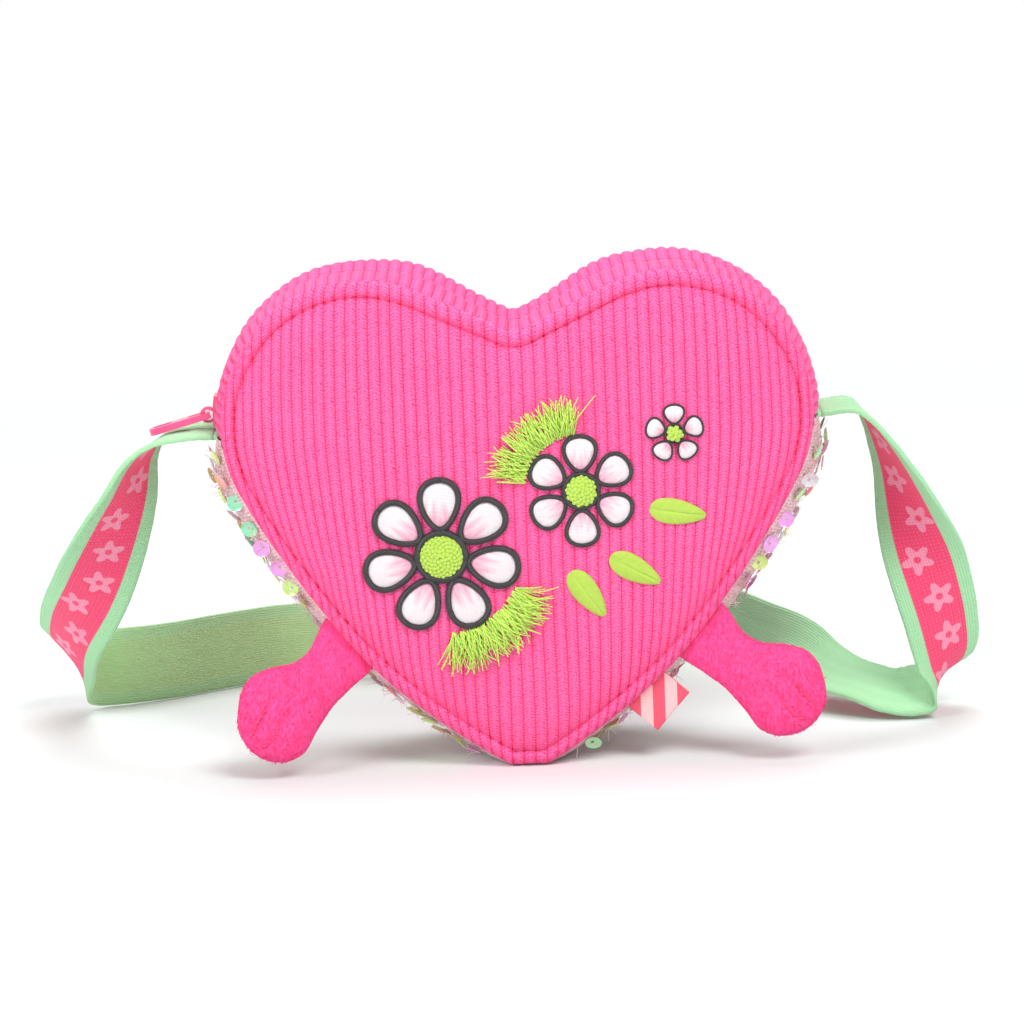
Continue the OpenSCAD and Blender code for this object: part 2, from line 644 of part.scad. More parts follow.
module arm_tab_left() {
    arm_tab(-1);
}
module arm_tab_right() {
    arm_tab(1);
}

// Two rows of stitches part the fingers, on the front of each hand
finger_row_shares = [-0.17, 0.17];
finger_start_share = 0.68;
finger_step_share = 0.07;
finger_count = 4;
stitch_len = 2.2;
stitch_t = 0.5;
stitch_w = 0.9;
// A share of the arm looked up at a place along it
function arm_share(shares, u) = lookup(u, [for (k = [0:arm_last]) [arm_along_shares[k], shares[k]]]);
// Height of the hand's surface over its middle plane, at a place along it and a row across it
function arm_rise(u, row) = let (across = 2 * row / arm_share(arm_width_shares, u))
    hand_t / 2 * arm_share(arm_thick_shares, u) * sqrt(1 - across * across);
module finger_stitches(side) {
    color(coral) arm_place(side) for (row = finger_row_shares, i = [0:finger_count - 1]) {
        u = finger_start_share + i * finger_step_share;
        ends = [u - stitch_len / 2 / arm_len, u, u + stitch_len / 2 / arm_len];
        rise = max([for (e = ends, r = [abs(row) - stitch_w / 2 / hand_w, abs(row)]) arm_rise(e, r)]);
        lift = arm_len * arm_share(arm_lift_shares, u);
        translate([arm_len * u, -rise - stitch_t / 2, row * hand_w + lift])
            cube([stitch_len, stitch_t, stitch_w], center = true);
    }
}
module finger_stitches_left() {
    finger_stitches(-1);
}
module finger_stitches_right() {
    finger_stitches(1);
}

// Folded ribbon tag in the front seam, low on the right
tag_angle = 50;
tag_t = 0.6;
module side_tag() {
    tag_x = side_x + side_r * cos(tag_angle);
    tag_z = side_z - side_r * sin(tag_angle);
    color(coral) translate([tag_x, front_y - tag_t, tag_z]) rotate([0, tag_angle, 0]) {
        translate([0, 0, -tag_w / 2]) cube([tag_out, tag_t, tag_w]);
        translate([0, tag_t * 2, -tag_w / 2]) cube([tag_out, tag_t, tag_w]);
        translate([tag_out - tag_t, 0, -tag_w / 2]) cube([tag_t, tag_t * 3, tag_w]);
    }
}
label_w = 18;
label_h = 12;
label_t = 0.4;
label_z = 80;
module inner_label() {
    color(satin_white) translate([-label_w / 2, back_y - lining_t - label_t, label_z])
        cube([label_w, label_t, label_h]);
}

// Topstitching that holds the rolled edge of the front
topstitch_in = 5.5;
topstitch_pitch = 3.6;
rim_angle = acos(1 - topstitch_in / rim_w);
topstitch_y = front_y - front_crown * sin(rim_angle);
module stitch(x, z, a) {
    translate([x, topstitch_y - stitch_t / 2, z]) rotate([0, -a, 0])
        cube([stitch_w, stitch_t, stitch_len], center = true);
}
module arc_stitches(cx, cz, r, a0, a1) {
    n = floor(abs(a1 - a0) * PI / 180 * r / topstitch_pitch);
    for (i = [0:n - 1]) {
        a = a0 + (a1 - a0) * (i + 0.5) / n;
        for (side = [-1, 1]) {
            mirror([side > 0 ? 0 : 1, 0, 0]) stitch(cx + r * cos(a), cz + r * sin(a), a);
        }
    }
}
module flank_stitches() {
    for (side = [-1, 1], t = [topstitch_pitch / 2:topstitch_pitch:flank_len]) {
        mirror([side > 0 ? 0 : 1, 0, 0]) translate([lobe_x, 0, lobe_z]) rotate([0, -notch_angle, 0])
            translate([lobe_r - topstitch_in, topstitch_y - stitch_t / 2, t])
                cube([stitch_w, stitch_t, stitch_len], center = true);
    }
}
module topstitching() {
    color(plush_pink) {
        arc_stitches(lobe_x, lobe_z, lobe_r - topstitch_in,
            lobe_angle(fold_z - stitch_len / 2, topstitch_in), lobe_side_angle);
        arc_stitches(side_x, side_z, side_r - topstitch_in, lobe_side_angle, side_tip_angle);
        arc_stitches(0, tip_z, tip_r - topstitch_in, side_tip_angle, -90);
    }
}
module topstitching_flap() {
    color(plush_pink) {
        arc_stitches(0, notch_z, notch_r + topstitch_in, -90, notch_angle - 180);
        flank_stitches();
        arc_stitches(lobe_x, lobe_z, lobe_r - topstitch_in,
            notch_angle, lobe_angle(flap_z + stitch_len / 2, topstitch_in));
    }
}

// Embroidered flowers: place in shares of the body's width and height, outer radius, and petals
flower_place_shares = [[-0.133, 0.446], [0.1, 0.568], [0.256, 0.676]];
flower_radii = [flower_big_r, flower_mid_r, flower_small_r];
flower_petals = [7, 6, 5];
eye_share = 0.3;
eye_gap_share = 0.02;
petal_fill_share = 0.62;
petal_swell = 0.3;
petal_points = 20;
// A petal from the eye to the rim, wide enough to fill its share of the turn
function petal(r, n, shrink) = let (
    r0 = r * eye_share + shrink, r1 = r - shrink,
    half = r * petal_fill_share * sin(180 / n) - shrink)
    [for (i = [0:petal_points - 1]) let (a = 360 * i / petal_points)
        [(r0 + r1) / 2 + (r1 - r0) / 2 * cos(a), half * sin(a) * (1 + petal_swell * cos(a))]];
// The front's flat face, at a place in shares of the width and height
module on_front(f, rise) {
    translate([f[0] * body_w, hinge_y, f[1] * body_h]) rotate([90, 0, 0]) linear_extrude(rise) children();
}
function petal_inner(f) =
    petal(flower_radii[f], flower_petals[f], outline_w * flower_radii[f] / flower_big_r);
function petal_outer(f) = petal(flower_radii[f], flower_petals[f], 0);
// Children drawn once for each petal of flower f
module petal_turn(f) {
    for (i = [0:flower_petals[f] - 1]) {
        on_front(flower_place_shares[f], satin_t) rotate(360 * i / flower_petals[f] + 90) children();
    }
}
module petals() {
    color(satin_white) for (f = [0:len(flower_radii) - 1]) {
        petal_turn(f) polygon(petal_inner(f));
    }
}
module petal_outlines() {
    color(thread_black) for (f = [0:len(flower_radii) - 1]) {
        petal_turn(f) difference() {
            polygon(petal_outer(f));
            polygon(petal_inner(f));
        }
    }
}
module flower_centres() {
    color(lime) for (f = [0:len(flower_radii) - 1]) {
        on_front(flower_place_shares[f], satin_t)
            circle(r = flower_radii[f] * (eye_share - eye_gap_share), $fn = 40);
    }
}
leaf_len = 17;
leaf_w = 7.5;
leaf_taper = 0.3;
leaf_place_shares = [[0.078, 0.405], [0.144, 0.432], [0.211, 0.527]];
leaf_angles = [305, 330, 350];
module leaves() {
    color(lime) for (k = [0:len(leaf_angles) - 1]) {
        on_front(leaf_place_shares[k], satin_t) rotate(leaf_angles[k])
            polygon([for (i = [0:petal_points - 1]) let (a = 360 * i / petal_points)
                [leaf_len / 2 + leaf_len / 2 * cos(a), leaf_w / 2 * sin(a) * (1 - leaf_taper * cos(a))]]);
    }
}
// Bands of thread fringe beside two of the flowers, each between two angles round its flower
fringe_w = 8;
fringe_gap = 0.8;
fringe_steps = 16;
fringe_angles = [[275, 335], [95, 170]];
module lime_fringe() {
    color(lime) for (f = [0:len(fringe_angles) - 1]) {
        a = fringe_angles[f];
        r0 = flower_radii[f] + fringe_gap;
        r1 = r0 + fringe_w * flower_radii[f] / flower_big_r;
        on_front(flower_place_shares[f], satin_t)
            polygon(concat(arc(0, 0, r0, a[0], a[1], fringe_steps), arc(0, 0, r1, a[1], a[0], fringe_steps)));
    }
}

// Sequins on the mesh, in rows along the side curves, one node for each colour
sequin_t = 0.3;
sequin_hole = 1;
sequin_rows = 5;
sequin_colours = 5;
sequin_edge = arm_tab_t + gap;
sequin_start_share = 0.4;
sequin_shift_share = 0.5;
row_pitch = (body_d - sequin_dia - 2 * sequin_edge) / (sequin_rows - 1);
side_len = (lobe_side_angle - side_tip_angle) * PI / 180 * side_r;
module sequin(r, y) {
    translate([r, y, 0]) rotate([0, 90, 0]) difference() {
        cylinder(d = sequin_dia, h = sequin_t, $fn = 32);
        translate([sequin_dia / 6, 0, -cut]) cylinder(d = sequin_hole, h = sequin_t + 2 * cut, $fn = 16);
    }
}
module sequins(colour) {
    count = floor(side_len / sequin_pitch);
    for (side = [-1, 1], i = [0:count - 1], j = [0:sequin_rows - 1]) {
        if ((3 * i + 2 * j + side + 1) % sequin_colours == colour) {
            step = i + sequin_shift_share * (j % 2) + sequin_start_share;
            a = lobe_side_angle - step * sequin_pitch / side_r * 180 / PI;
            mirror([side > 0 ? 0 : 1, 0, 0]) translate([side_x, 0, side_z]) rotate([0, -a, 0])
                sequin(side_r, (j - (sequin_rows - 1) / 2) * row_pitch);
        }
    }
}
module sequins_mint() {
    color(mint) sequins(0);
}
module sequins_lime() {
    color(lime) sequins(1);
}
module sequins_coral() {
    color(coral) sequins(2);
}
module sequins_lilac() {
    color(lilac) sequins(3);
}
module sequins_silver() {
    color(silver) sequins(4);
}

back_panel();
back_padding();
back_lining();
front_panel();
front_panel_flap();
front_padding();
front_padding_flap();
front_lining();
front_lining_flap();
gusset_mesh();
gusset_backing();
gusset_lining();
rear_zip_strip();
front_zip_strip();
front_strip_end_left();
front_strip_end_right();
rear_zip_tape();
front_zip_tape();
front_tape_end_left();
front_tape_end_right();
rear_zip_teeth();
front_zip_teeth();
front_end_teeth();
zip_stops();
zip_slider();
zip_pull();
strap_tab_left();
strap_tab_right();
strap_left();
strap_right();
strap_hank();
strap_tie();
arm_tab_left();
arm_tab_right();
arm_skin_left();
arm_skin_right();
arm_stuffing_left();
arm_stuffing_right();
finger_stitches_left();
finger_stitches_right();
side_tag();
inner_label();
topstitching();
topstitching_flap();
petals();
petal_outlines();
flower_centres();
leaves();
lime_fringe();
sequins_mint();
sequins_lime();
sequins_coral();
sequins_lilac();
sequins_silver();
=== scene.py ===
# Looks of the heart shaped purse: ribbed plush corduroy, sequin gusset, stuffed arms, satin
# embroidery and printed webbing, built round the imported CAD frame. Lengths are in millimetres
# and become metres where a mesh is made.
import math

import bpy
import numpy as np
from mathutils import Matrix, Vector


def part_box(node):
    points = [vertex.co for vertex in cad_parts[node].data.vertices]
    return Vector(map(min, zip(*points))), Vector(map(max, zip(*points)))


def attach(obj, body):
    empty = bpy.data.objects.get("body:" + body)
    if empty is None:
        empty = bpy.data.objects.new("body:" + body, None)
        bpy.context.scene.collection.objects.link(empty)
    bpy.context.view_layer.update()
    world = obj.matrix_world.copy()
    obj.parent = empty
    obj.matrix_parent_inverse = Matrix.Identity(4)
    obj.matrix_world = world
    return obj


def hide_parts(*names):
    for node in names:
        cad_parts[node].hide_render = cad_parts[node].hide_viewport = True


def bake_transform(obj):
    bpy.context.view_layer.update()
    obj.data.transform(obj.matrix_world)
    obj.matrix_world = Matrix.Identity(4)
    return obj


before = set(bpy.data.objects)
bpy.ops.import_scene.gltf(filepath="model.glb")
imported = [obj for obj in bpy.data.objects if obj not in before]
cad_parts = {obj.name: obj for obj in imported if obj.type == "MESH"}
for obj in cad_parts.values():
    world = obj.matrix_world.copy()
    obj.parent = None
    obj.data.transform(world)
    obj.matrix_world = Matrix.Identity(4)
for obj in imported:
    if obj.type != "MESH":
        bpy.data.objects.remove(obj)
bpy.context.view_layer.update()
MM = 0.001
rng = np.random.default_rng(7)

# Sizes, as in the part's source
LOBE_X, LOBE_Z, LOBE_R = 46.5, 104.5, 43.5
SIDE_X, SIDE_Z, SIDE_R = -100.205, 178.917, 208.0
TIP_Z, TIP_R = 12.8, 14.0
NOTCH_Z, NOTCH_R = 137.434, 6.0
FLANK_ANGLE, SIDE_START, TIP_START = 25.0, -26.9, -58.9
HALF_DEPTH = 23.0
GUSSET_TOP = 101.8
STRAP_W, STRAP_T = 25.0, 1.6
STRAP_START = 90.86
STRAP_Z = 101.0
HANK_PITCH, HANK_RUN, HANK_HALF, HANK_RUNS = 10.0, 84.0, 44.0, 5
HANK_Y, HANK_Z = 100.0, 13.5
ARM_ANGLE, ARM_LEN, ARM_FORWARD = 42.5, 39.5, 14.0
ARM_SEAT = 0.6
HAND_W, HAND_T = 28.0, 10.0

# Pitches of the cloth: ribs, tufts on a rib, stitches, threads of the satin
RIB, TUFT, STITCH_PITCH, SATIN_PITCH = 3.5, 0.92, 3.6, 0.42
# Distance of the stitched groove from the seam, how far the sides' seams are drawn in, and the
# distance over which that fades
STITCH_IN, DRAW_IN, DRAW_FADE = 4.7, 2.2, 12
# Heights of the padded cover: the fold of its edge, the bead on it, the pillow's rise and its crown
EDGE_H, BEAD_H, PILLOW_H, CROWN_H, CROWN_REACH = 2.6, 2.2, 3.3, 2.4, 60
# The bead's distance from the seam and its half width, and the way over which the pillow rises
BEAD_AT, BEAD_HALF, PILLOW_RUN = 2.2, 2.3, 3.2
# No cloth sinks below these heights over the floor
CLOTH_FLOOR, PILE_FLOOR, SEQUIN_FLOOR, TINSEL_FLOOR = 0.02, 0.05, 0.1, 0.2


# Camera at the photograph's angle
def make_camera():
    elevation, roll = math.radians(10.6), math.radians(-2.2)
    target, distance = Vector((-2.6, -23, 77)) * MM, 1.25
    forward = Vector((0, math.cos(elevation), -math.sin(elevation)))
    right = Vector((1, 0, 0))
    up = right.cross(forward)
    camera_x = right * math.cos(roll) + up * math.sin(roll)
    camera_y = up * math.cos(roll) - right * math.sin(roll)
    data = bpy.data.cameras.new("camera")
    data.sensor_width = 36
    data.lens = 147.96
    data.clip_end = 20
    camera = bpy.data.objects.new("camera", data)
    place = target - forward * distance
    turn = Matrix((camera_x, camera_y, -forward)).transposed().to_4x4()
    camera.matrix_world = Matrix.Translation(place) @ turn
    bpy.context.scene.collection.objects.link(camera)
    bpy.context.scene.camera = camera


make_camera()


# Mesh helpers
def piece(name, verts, faces, materials, uv=None, share=None, slots=None, smooth=True):
    mesh = bpy.data.meshes.new(name)
    mesh.from_pydata((np.asarray(verts, float) * MM).tolist(), [], [list(f) for f in faces])
    corner = np.zeros(len(mesh.loops), np.int32)
    mesh.loops.foreach_get("vertex_index", corner)
    if uv is not None:
        layer = mesh.uv_layers.new(name="UVMap")
        layer.data.foreach_set("uv", (np.asarray(uv, float)[corner] * MM).ravel())
    if share is not None:
        layer = mesh.color_attributes.new("share", "FLOAT_COLOR", "POINT")
        colour = np.ones((len(mesh.vertices), 4))
        colour[:, :3] = np.asarray(share, float).reshape(-1, 1)
        layer.data.foreach_set("color", colour.ravel())
    for material in materials:
        mesh.materials.append(material)
    if slots is not None:
        mesh.polygons.foreach_set("material_index", np.asarray(slots, np.int32))
    mesh.polygons.foreach_set("use_smooth", [smooth] * len(mesh.polygons))
    mesh.update()
    obj = bpy.data.objects.new(name, mesh)
    bpy.context.scene.collection.objects.link(obj)
    return obj


# Quads over a grid of points, with its columns or its rows closed where asked
def grid(rows, cols, wrap_rows=False, wrap_cols=False):
    i = np.arange(rows if wrap_rows else rows - 1)[:, None]
    j = np.arange(cols if wrap_cols else cols - 1)[None, :]
    a = i * cols + j
    b = i * cols + (j + 1) % cols
    c = ((i + 1) % rows) * cols + (j + 1) % cols
    d = ((i + 1) % rows) * cols + j
    return np.stack([a + 0 * b, b, c, d], -1).reshape(-1, 4)


def unit(v):
    v = np.asarray(v, float)
    return v / np.maximum(np.linalg.norm(v, axis=-1, keepdims=True), 1e-9)


# One array of places from parts that are spread to the same shape
def spread(*parts):
    return np.stack(np.broadcast_arrays(*parts), -1)


# Rises from 0 to 1 between two values
def ramp(value, start, end):
    return np.clip((value - start) / (end - start), 0, 1)


# A power of a value's size that keeps its sign. Below 1 it squares a circle off
def signed_power(value, power):
    return np.sign(value) * np.abs(value) ** power


# Even turns round a circle
def turns(count):
    return np.linspace(0, 2 * math.pi, count, endpoint=False)


# The way covered at each of a row of places
def way_along(places):
    return np.concatenate([[0], np.cumsum(np.linalg.norm(np.diff(places, axis=0), axis=1))])


# Hides the CAD parts that a piece stands for, and hangs it on the body that it rides on
def settle(obj, nodes=(), body=None):
    if nodes:
        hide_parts(*nodes)
    if body:
        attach(obj, body)
    return obj


# A piece that crosses the fold: its place is baked into its mesh, and nothing bends it
def bend_at_fold(obj):
    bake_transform(obj)


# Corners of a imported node's box
def box_of(node):
    low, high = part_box(node)
    return np.array(low) / MM, np.array(high) / MM


# Smooth noise of a place, from a few sines
def ripple(x, y, scale, seed=0.0):
    a = np.sin(x / scale + seed) * np.cos(y / scale * 1.3 + seed * 2)
    b = np.sin(x / scale * 2.3 + y / scale * 1.1 + seed * 3)
    return 0.6 * a + 0.4 * b


# Smooth curve through rows of values, with some steps from each row to the next
def spline(rows, steps):
    rows = np.asarray(rows, float)
    out = []
    for i in range(1, len(rows) - 2):
        a, b, c, d = rows[i - 1], rows[i], rows[i + 1], rows[i + 2]
        for k in range(steps):
            t = k / steps
            out.append((2 * b + (c - a) * t + (2 * a - 5 * b + 4 * c - d) * t ** 2
                        + (3 * b - a - 3 * c + d) * t ** 3) / 2)
    out.append(rows[-2])
    return np.array(out)


# Strap: place and width direction from each seam to the hank. It starts inside the seam
LEAD = 8
STRAP_LEFT = [
    (-STRAP_START + LEAD, 0, STRAP_Z, 0, -1, 0), (-STRAP_START, 0, STRAP_Z, 0, -1, 0),
    (-STRAP_START - LEAD, 0, STRAP_Z, 0, -1, 0), (-108, 0, 99, -0.15, -1, 0), (-115, 2, 92, -0.3, -0.95, 0.1),
    (-120, 7, 79, -0.6, -0.75, 0.15), (-127, 16, 63, -0.88, -0.4, 0.2), (-135, 29, 46, -0.95, 0.12, 0.3),
    (-143, 45, 31, -0.75, 0.35, 0.6), (-145, 62, 19.5, -0.6, 0.1, 0.8), (-138, 73, 13.6, -0.25, 0, 1),
    (-128, 76, 13, 0, 0, 1), (-114, 83, 12.7, 0, 0, 1), (-98, 94, 12.7, 0, 0, 1), (-80, 104, 12.7, 0, 0, 1),
    (-62, 104, 13, 0, 0, 1), (-44, 100, 13.5, 0, 0, 1), (-26, 100, 13.5, 0, 0, 1)]
STRAP_RIGHT = [
    (STRAP_START - LEAD, 0, STRAP_Z, 0, -1, 0), (STRAP_START, 0, STRAP_Z, 0, -1, 0),
    (STRAP_START + LEAD, 0, STRAP_Z + STRAP_T / 2, 0, -1, 0), (103.5, 0, 100, 0.05, -1, 0),
    (109, 2, 92.5, 0.2, -0.95, 0), (115, 6, 79, 0.48, -0.85, 0), (120, 10, 62, 0.75, -0.45, 0.1),
    (125, 14, 45, 0.93, 0.08, 0.2), (129, 18.5, 29, 0.92, 0.35, 0.35), (130.5, 23, 15.5, 0.7, 0.5, 0.5),
    (126, 25.5, 8.6, 0.4, 0.75, 0.5), (119.5, 25.5, 6.4, 0.1, 0.92, 0.4), (113, 26, 7, 0.05, 0.93, 0.35),
    (105.5, 30, 8.8, 0.12, 0.96, 0.22), (98, 37, 10, 0.15, 0.97, 0.18), (91, 46, 11.2, 0.1, 0.95, 0.27),
    (84, 58, 13, 0.05, 0.8, 0.55), (77.5, 75, 13.4, 0, 0.45, 0.9), (70.5, 98, 13.2, 0, 0.1, 1),
    (64, 118, 13, 0, 0, 1), (55, 134, 13.2, 0, 0, 1), (44, 140, 13.5, 0, 0, 1), (26, 140, 13.5, 0, 0, 1)]


# Rows of place and width direction along the whole strap, from the left exit to the right one
def strap_rows():
    hank = []
    x = -HANK_HALF
    for k in range(HANK_RUNS):
        side = 1 if k % 2 == 0 else -1
        y = HANK_Y + k * HANK_PITCH
        last_run = k == HANK_RUNS - 1
        end = HANK_HALF if last_run else side * (HANK_RUN - HANK_HALF)
        hank += [(x + (end - x) * t, y, HANK_Z, 0, 0, 1) for t in np.linspace(0, 1, 20)[1:-1]]
        if last_run:
            break
        r = HANK_PITCH / 2
        for a in np.radians(np.linspace(-90, 90, 13)):
            hank.append((end + side * r * math.cos(a), y + r + r * math.sin(a), HANK_Z, 0, 0, 1))
        x = end
    left = spline(STRAP_LEFT, 8)
    right = spline(STRAP_RIGHT, 6)[::-1]
    return np.concatenate([left, hank, right])


# A flat band along rows of place and width direction; returns its rings and the way along it
def band(rows, width, thick, edge_wave=0.0):
    place = rows[:, :3]
    forward = unit(np.gradient(place, axis=0))
    across = unit(rows[:, 3:] - (rows[:, 3:] * forward).sum(1, keepdims=True) * forward)
    normal = np.cross(forward, across)
    length = way_along(place)
    half, t = width / 2, thick / 2
    u = np.array([-1, -0.985, -0.9, -0.6, -0.3, 0, 0.3, 0.6, 0.9, 0.985, 1]) * half
    h = np.array([0.45, 0.9, 1, 0.8, 0.75, 0.75, 0.75, 0.8, 1, 0.9, 0.45]) * t
    us = np.concatenate([u, u[::-1]])
    hs = np.concatenate([-h, h])
    wave = edge_wave * np.sin(length * 1.9)[:, None] * (np.abs(us) > half * 0.95)[None, :]
    rings = (place[:, None] + across[:, None] * us[None, :, None]
             + normal[:, None] * (hs[None, :] + wave)[..., None])
    return rings, spread(length[:, None], us), length


# A round thread along places
def tube(points, radius, sides, closed=False, flat=1.0, normal=(0, -1.0, 0.02)):
    if closed:
        ahead = unit(np.roll(points, -1, 0) - np.roll(points, 1, 0))
    else:
        ahead = unit(np.gradient(points, axis=0))
    across = unit(np.cross(ahead, normal))
    up = np.cross(across, ahead)
    a = turns(sides)
    radius = np.broadcast_to(np.asarray(radius, float), len(points))[:, None, None]
    rings = points[:, None] + radius * (np.cos(a)[None, :, None] * across[:, None]
                                        + flat * np.sin(a)[None, :, None] * up[:, None])
    faces = grid(len(points), sides, wrap_rows=closed, wrap_cols=True)
    return rings, faces, spread(a * 0.8, way_along(points)[:, None])


# A mesh from rings of the band, its printed face first and its plain face second
def band_piece(name, rows, width, thick, materials, edge_wave=0.0):
    rings, uv, length = band(rows, width, thick, edge_wave)
    n, m = rings.shape[:2]
    faces = grid(n, m, wrap_cols=True).tolist()
    slots = [0 if f[0] % m < m // 2 else 1 for f in faces]
    faces += [list(range(m - 1, -1, -1)), [(n - 1) * m + i for i in range(m)]]
    slots += [1, 1]
    obj = piece(name, rings.reshape(-1, 3), faces, materials, uv.reshape(-1, 2), slots=slots)
    return obj, length[-1]


# The output of a shader node. It can stand in a sum or a product
class Value:
    def __init__(self, tree, socket):
        self.tree = tree
        self.socket = socket

    def __add__(self, other):
        return self.tree.math("ADD", self, other)

    def __sub__(self, other):
        return self.tree.math("SUBTRACT", self, other)

    def __mul__(self, other):
        return self.tree.math("MULTIPLY", self, other)

    def span(self, low, high, to_low=0.0, to_high=1.0):
        return self.tree.node("MapRange", 0, {"Value": self, "From Min": low, "From Max": high,
                                              "To Min": to_low, "To Max": to_high})


# A tree of shader nodes. An input is a number, a colour or the output of another node
class Tree:
    def __init__(self, owner):
        owner.use_nodes = True
        self.nodes = owner.node_tree.nodes
        self.links = owner.node_tree.links
        self.nodes.clear()

    def put(self, socket, value):
        if isinstance(value, Value):
            self.links.new(value.socket, socket)
        elif socket.type == "RGBA":
            socket.default_value = (*value, 1)
        else:
            socket.default_value = value

    def add(self, kind, inputs, **settings):
        node = self.nodes.new("ShaderNode" + kind)
        for key, value in settings.items():
            setattr(node, key, value)
        for key, value in inputs.items():
            self.put(node.inputs[key], value)
        return node

    def node(self, kind, out, inputs, **settings):
        return Value(self, self.add(kind, inputs, **settings).outputs[out])

    def math(self, operation, *values):
        return self.node("Math", 0, dict(enumerate(values)), operation=operation)

    # The first shader where the share is 0, and the second where it is 1
    def blend(self, share, first, second):
        return self.node("MixShader", 0, {0: share, 1: first, 2: second})

    # 1 for rays from the camera and for those that metal or glass sends on
    def seen(self):
        rays = self.add("LightPath", {}).outputs
        kinds = ("Is Camera Ray", "Is Glossy Ray", "Is Transmission Ray")
        camera, glossy, sent = (Value(self, rays[kind]) for kind in kinds)
        return self.math("MAXIMUM", self.math("MAXIMUM", camera, glossy), sent)


# A material with one principled shader. Patterns lie on the UV map or at the object's place
class Surface(Tree):
    def __init__(self, name):
        self.material = bpy.data.materials.new(name)
        super().__init__(self.material)
        self.shader = self.add("BsdfPrincipled", {})
        self.add("OutputMaterial", {"Surface": Value(self, self.shader.outputs["BSDF"])})

    def uv(self, scale=(1, 1, 1), source="UV"):
        return self.node("Mapping", 0, {"Vector": self.node("TexCoord", source, {}), "Scale": scale})

    def place(self, scale=(1, 1, 1)):
        return self.uv(scale, "Object")

    # The UV map and its two axes, in millimetres
    def axes(self):
        uv = self.uv((1 / MM, 1 / MM, 1 / MM))
        return uv, *(self.node("SeparateXYZ", axis, {"Vector": uv}) for axis in "XY")

    def noise(self, vector, scale, detail=2.0, distortion=0.0):
        return self.node("TexNoise", 0, {"Vector": vector, "Scale": scale, "Detail": detail, "Roughness": 0.6,
                                         "Distortion": distortion})

    # Even bands across an axis, at a pitch in millimetres
    def wave(self, vector, pitch, direction, distortion=0.0, detail_scale=1.0):
        return self.node("TexWave", "Fac", {"Vector": vector, "Scale": math.pi / 10 / (pitch * MM),
                                            "Distortion": distortion, "Detail": 2.0,
                                            "Detail Scale": detail_scale},
                         bands_direction=direction)

    def mix(self, factor, a, b):
        return self.node("Mix", 2, {0: factor, 6: a, 7: b}, data_type="RGBA")

    def bump(self, height, depth, strength=0.8):
        return self.node("Bump", 0, {"Height": height, "Distance": depth * MM, "Strength": strength})

    def finish(self, colour, roughness, bump, **inputs):
        inputs.update(Base_Color=colour, Roughness=roughness)
        for key, value in inputs.items():
            self.put(self.shader.inputs[key.replace("_", " ")], value)
        if bump:
            self.put(self.shader.inputs["Normal"], self.bump(*bump))
        return self.material


# The corduroy's pink, and its pink with painted shade for its grooves and tuft gaps and with random darker
# tone
PINK_LIGHT, PINK_SHADE_AND_TONE = (1.0, 0.195, 0.475), (0.97, 0.035, 0.17)
PLUSH_LIGHT, PLUSH_DEEP = (1.0, 0.115, 0.39), (0.93, 0.03, 0.16)
MINT, SAGE, OLIVE = (0.41, 0.77, 0.44), (0.30, 0.55, 0.27), (0.55, 0.73, 0.29)
CORAL, PALE_PINK, DEEP_CORAL = (0.99, 0.075, 0.20), (1.0, 0.36, 0.52), (0.75, 0.03, 0.09)
TAG_LEAN = 41.0


# Ribbed plush corduroy. The UV map runs across the ribs and along them, so the tufts lie in two slanting rows
# on each rib.
# The grooves between the ribs and the gaps between the tufts get painted shade, darker and redder
def corduroy(name):
    s = Surface(name)
    uv, across, along = s.axes()
    from_crest = s.math("PINGPONG", across, RIB / 2)
    row = from_crest * 0.6 + along
    tufts = s.math("SINE", row * (2 * math.pi / TUFT) + s.noise(uv, 0.9, 1.5) * 11.0)
    fuzz = s.noise(uv, 2.4, 3)
    # Painted shade: the gaps between the tufts and the narrow grooves between the ribs are darker and redder
    # in the colour
    tuft_gap_shade = tufts.span(-0.1, -0.9) * from_crest.span(0.15, 0.6, 0.35, 1.0)
    groove = from_crest.span(RIB / 2 - 0.36, RIB / 2 - 0.05, 1.0, 0.1)
    patches = s.noise(uv, 0.06).span(0.3, 0.7, 0.88, 1.0)
    shade = groove * tuft_gap_shade.span(0.0, 1.0, 1.0, 0.12) * fuzz.span(0.32, 0.6, 0.6, 1.0) * patches
    return s.finish(s.mix(shade, PINK_SHADE_AND_TONE, PINK_LIGHT), 0.92, (tufts * 0.4 + fuzz * 0.7, 0.3, 0.5),
                    Sheen_Weight=0.35, Sheen_Roughness=0.4, Sheen_Tint=(1.0, 0.45, 0.68),
                    Specular_IOR_Level=0.12)


# Short pile plush
def plush(name):
    s = Surface(name)
    clumps = s.noise(s.place(), 300, 3, 0.8)
    fibres = s.noise(s.place((1, 1, 0.4)), 1300, 4, 0.5)
    shade = clumps.span(0.3, 0.65, 0.7, 1.0) * fibres.span(0.34, 0.58, 0.35, 1.0)
    return s.finish(s.mix(shade, PLUSH_DEEP, PLUSH_LIGHT), 0.95, (clumps * 0.6 + fibres * 0.5, 0.8),
                    Sheen_Weight=0.4, Sheen_Roughness=0.35, Sheen_Tint=(1.0, 0.45, 0.66),
                    Specular_IOR_Level=0.1)


# Plain woven cloth, over the UV map or over the object's place
def woven(name, colour, dark, pitch=0.6, roughness=0.85, on_uv=True):
    s = Surface(name)
    uv = s.uv() if on_uv else s.place()
    cloth = s.wave(uv, pitch, "X", 0.6, 3) * s.wave(uv, pitch, "Y" if on_uv else "Z", 0.6, 3)
    shade = cloth.span(0.0, 0.7, 0.55, 1.0) * s.noise(uv, 140).span(0.3, 0.7, 0.85, 1.0)
    return s.finish(s.mix(shade, dark, colour), roughness, (cloth, 0.12), Sheen_Weight=0.2,
                    Specular_IOR_Level=0.25)


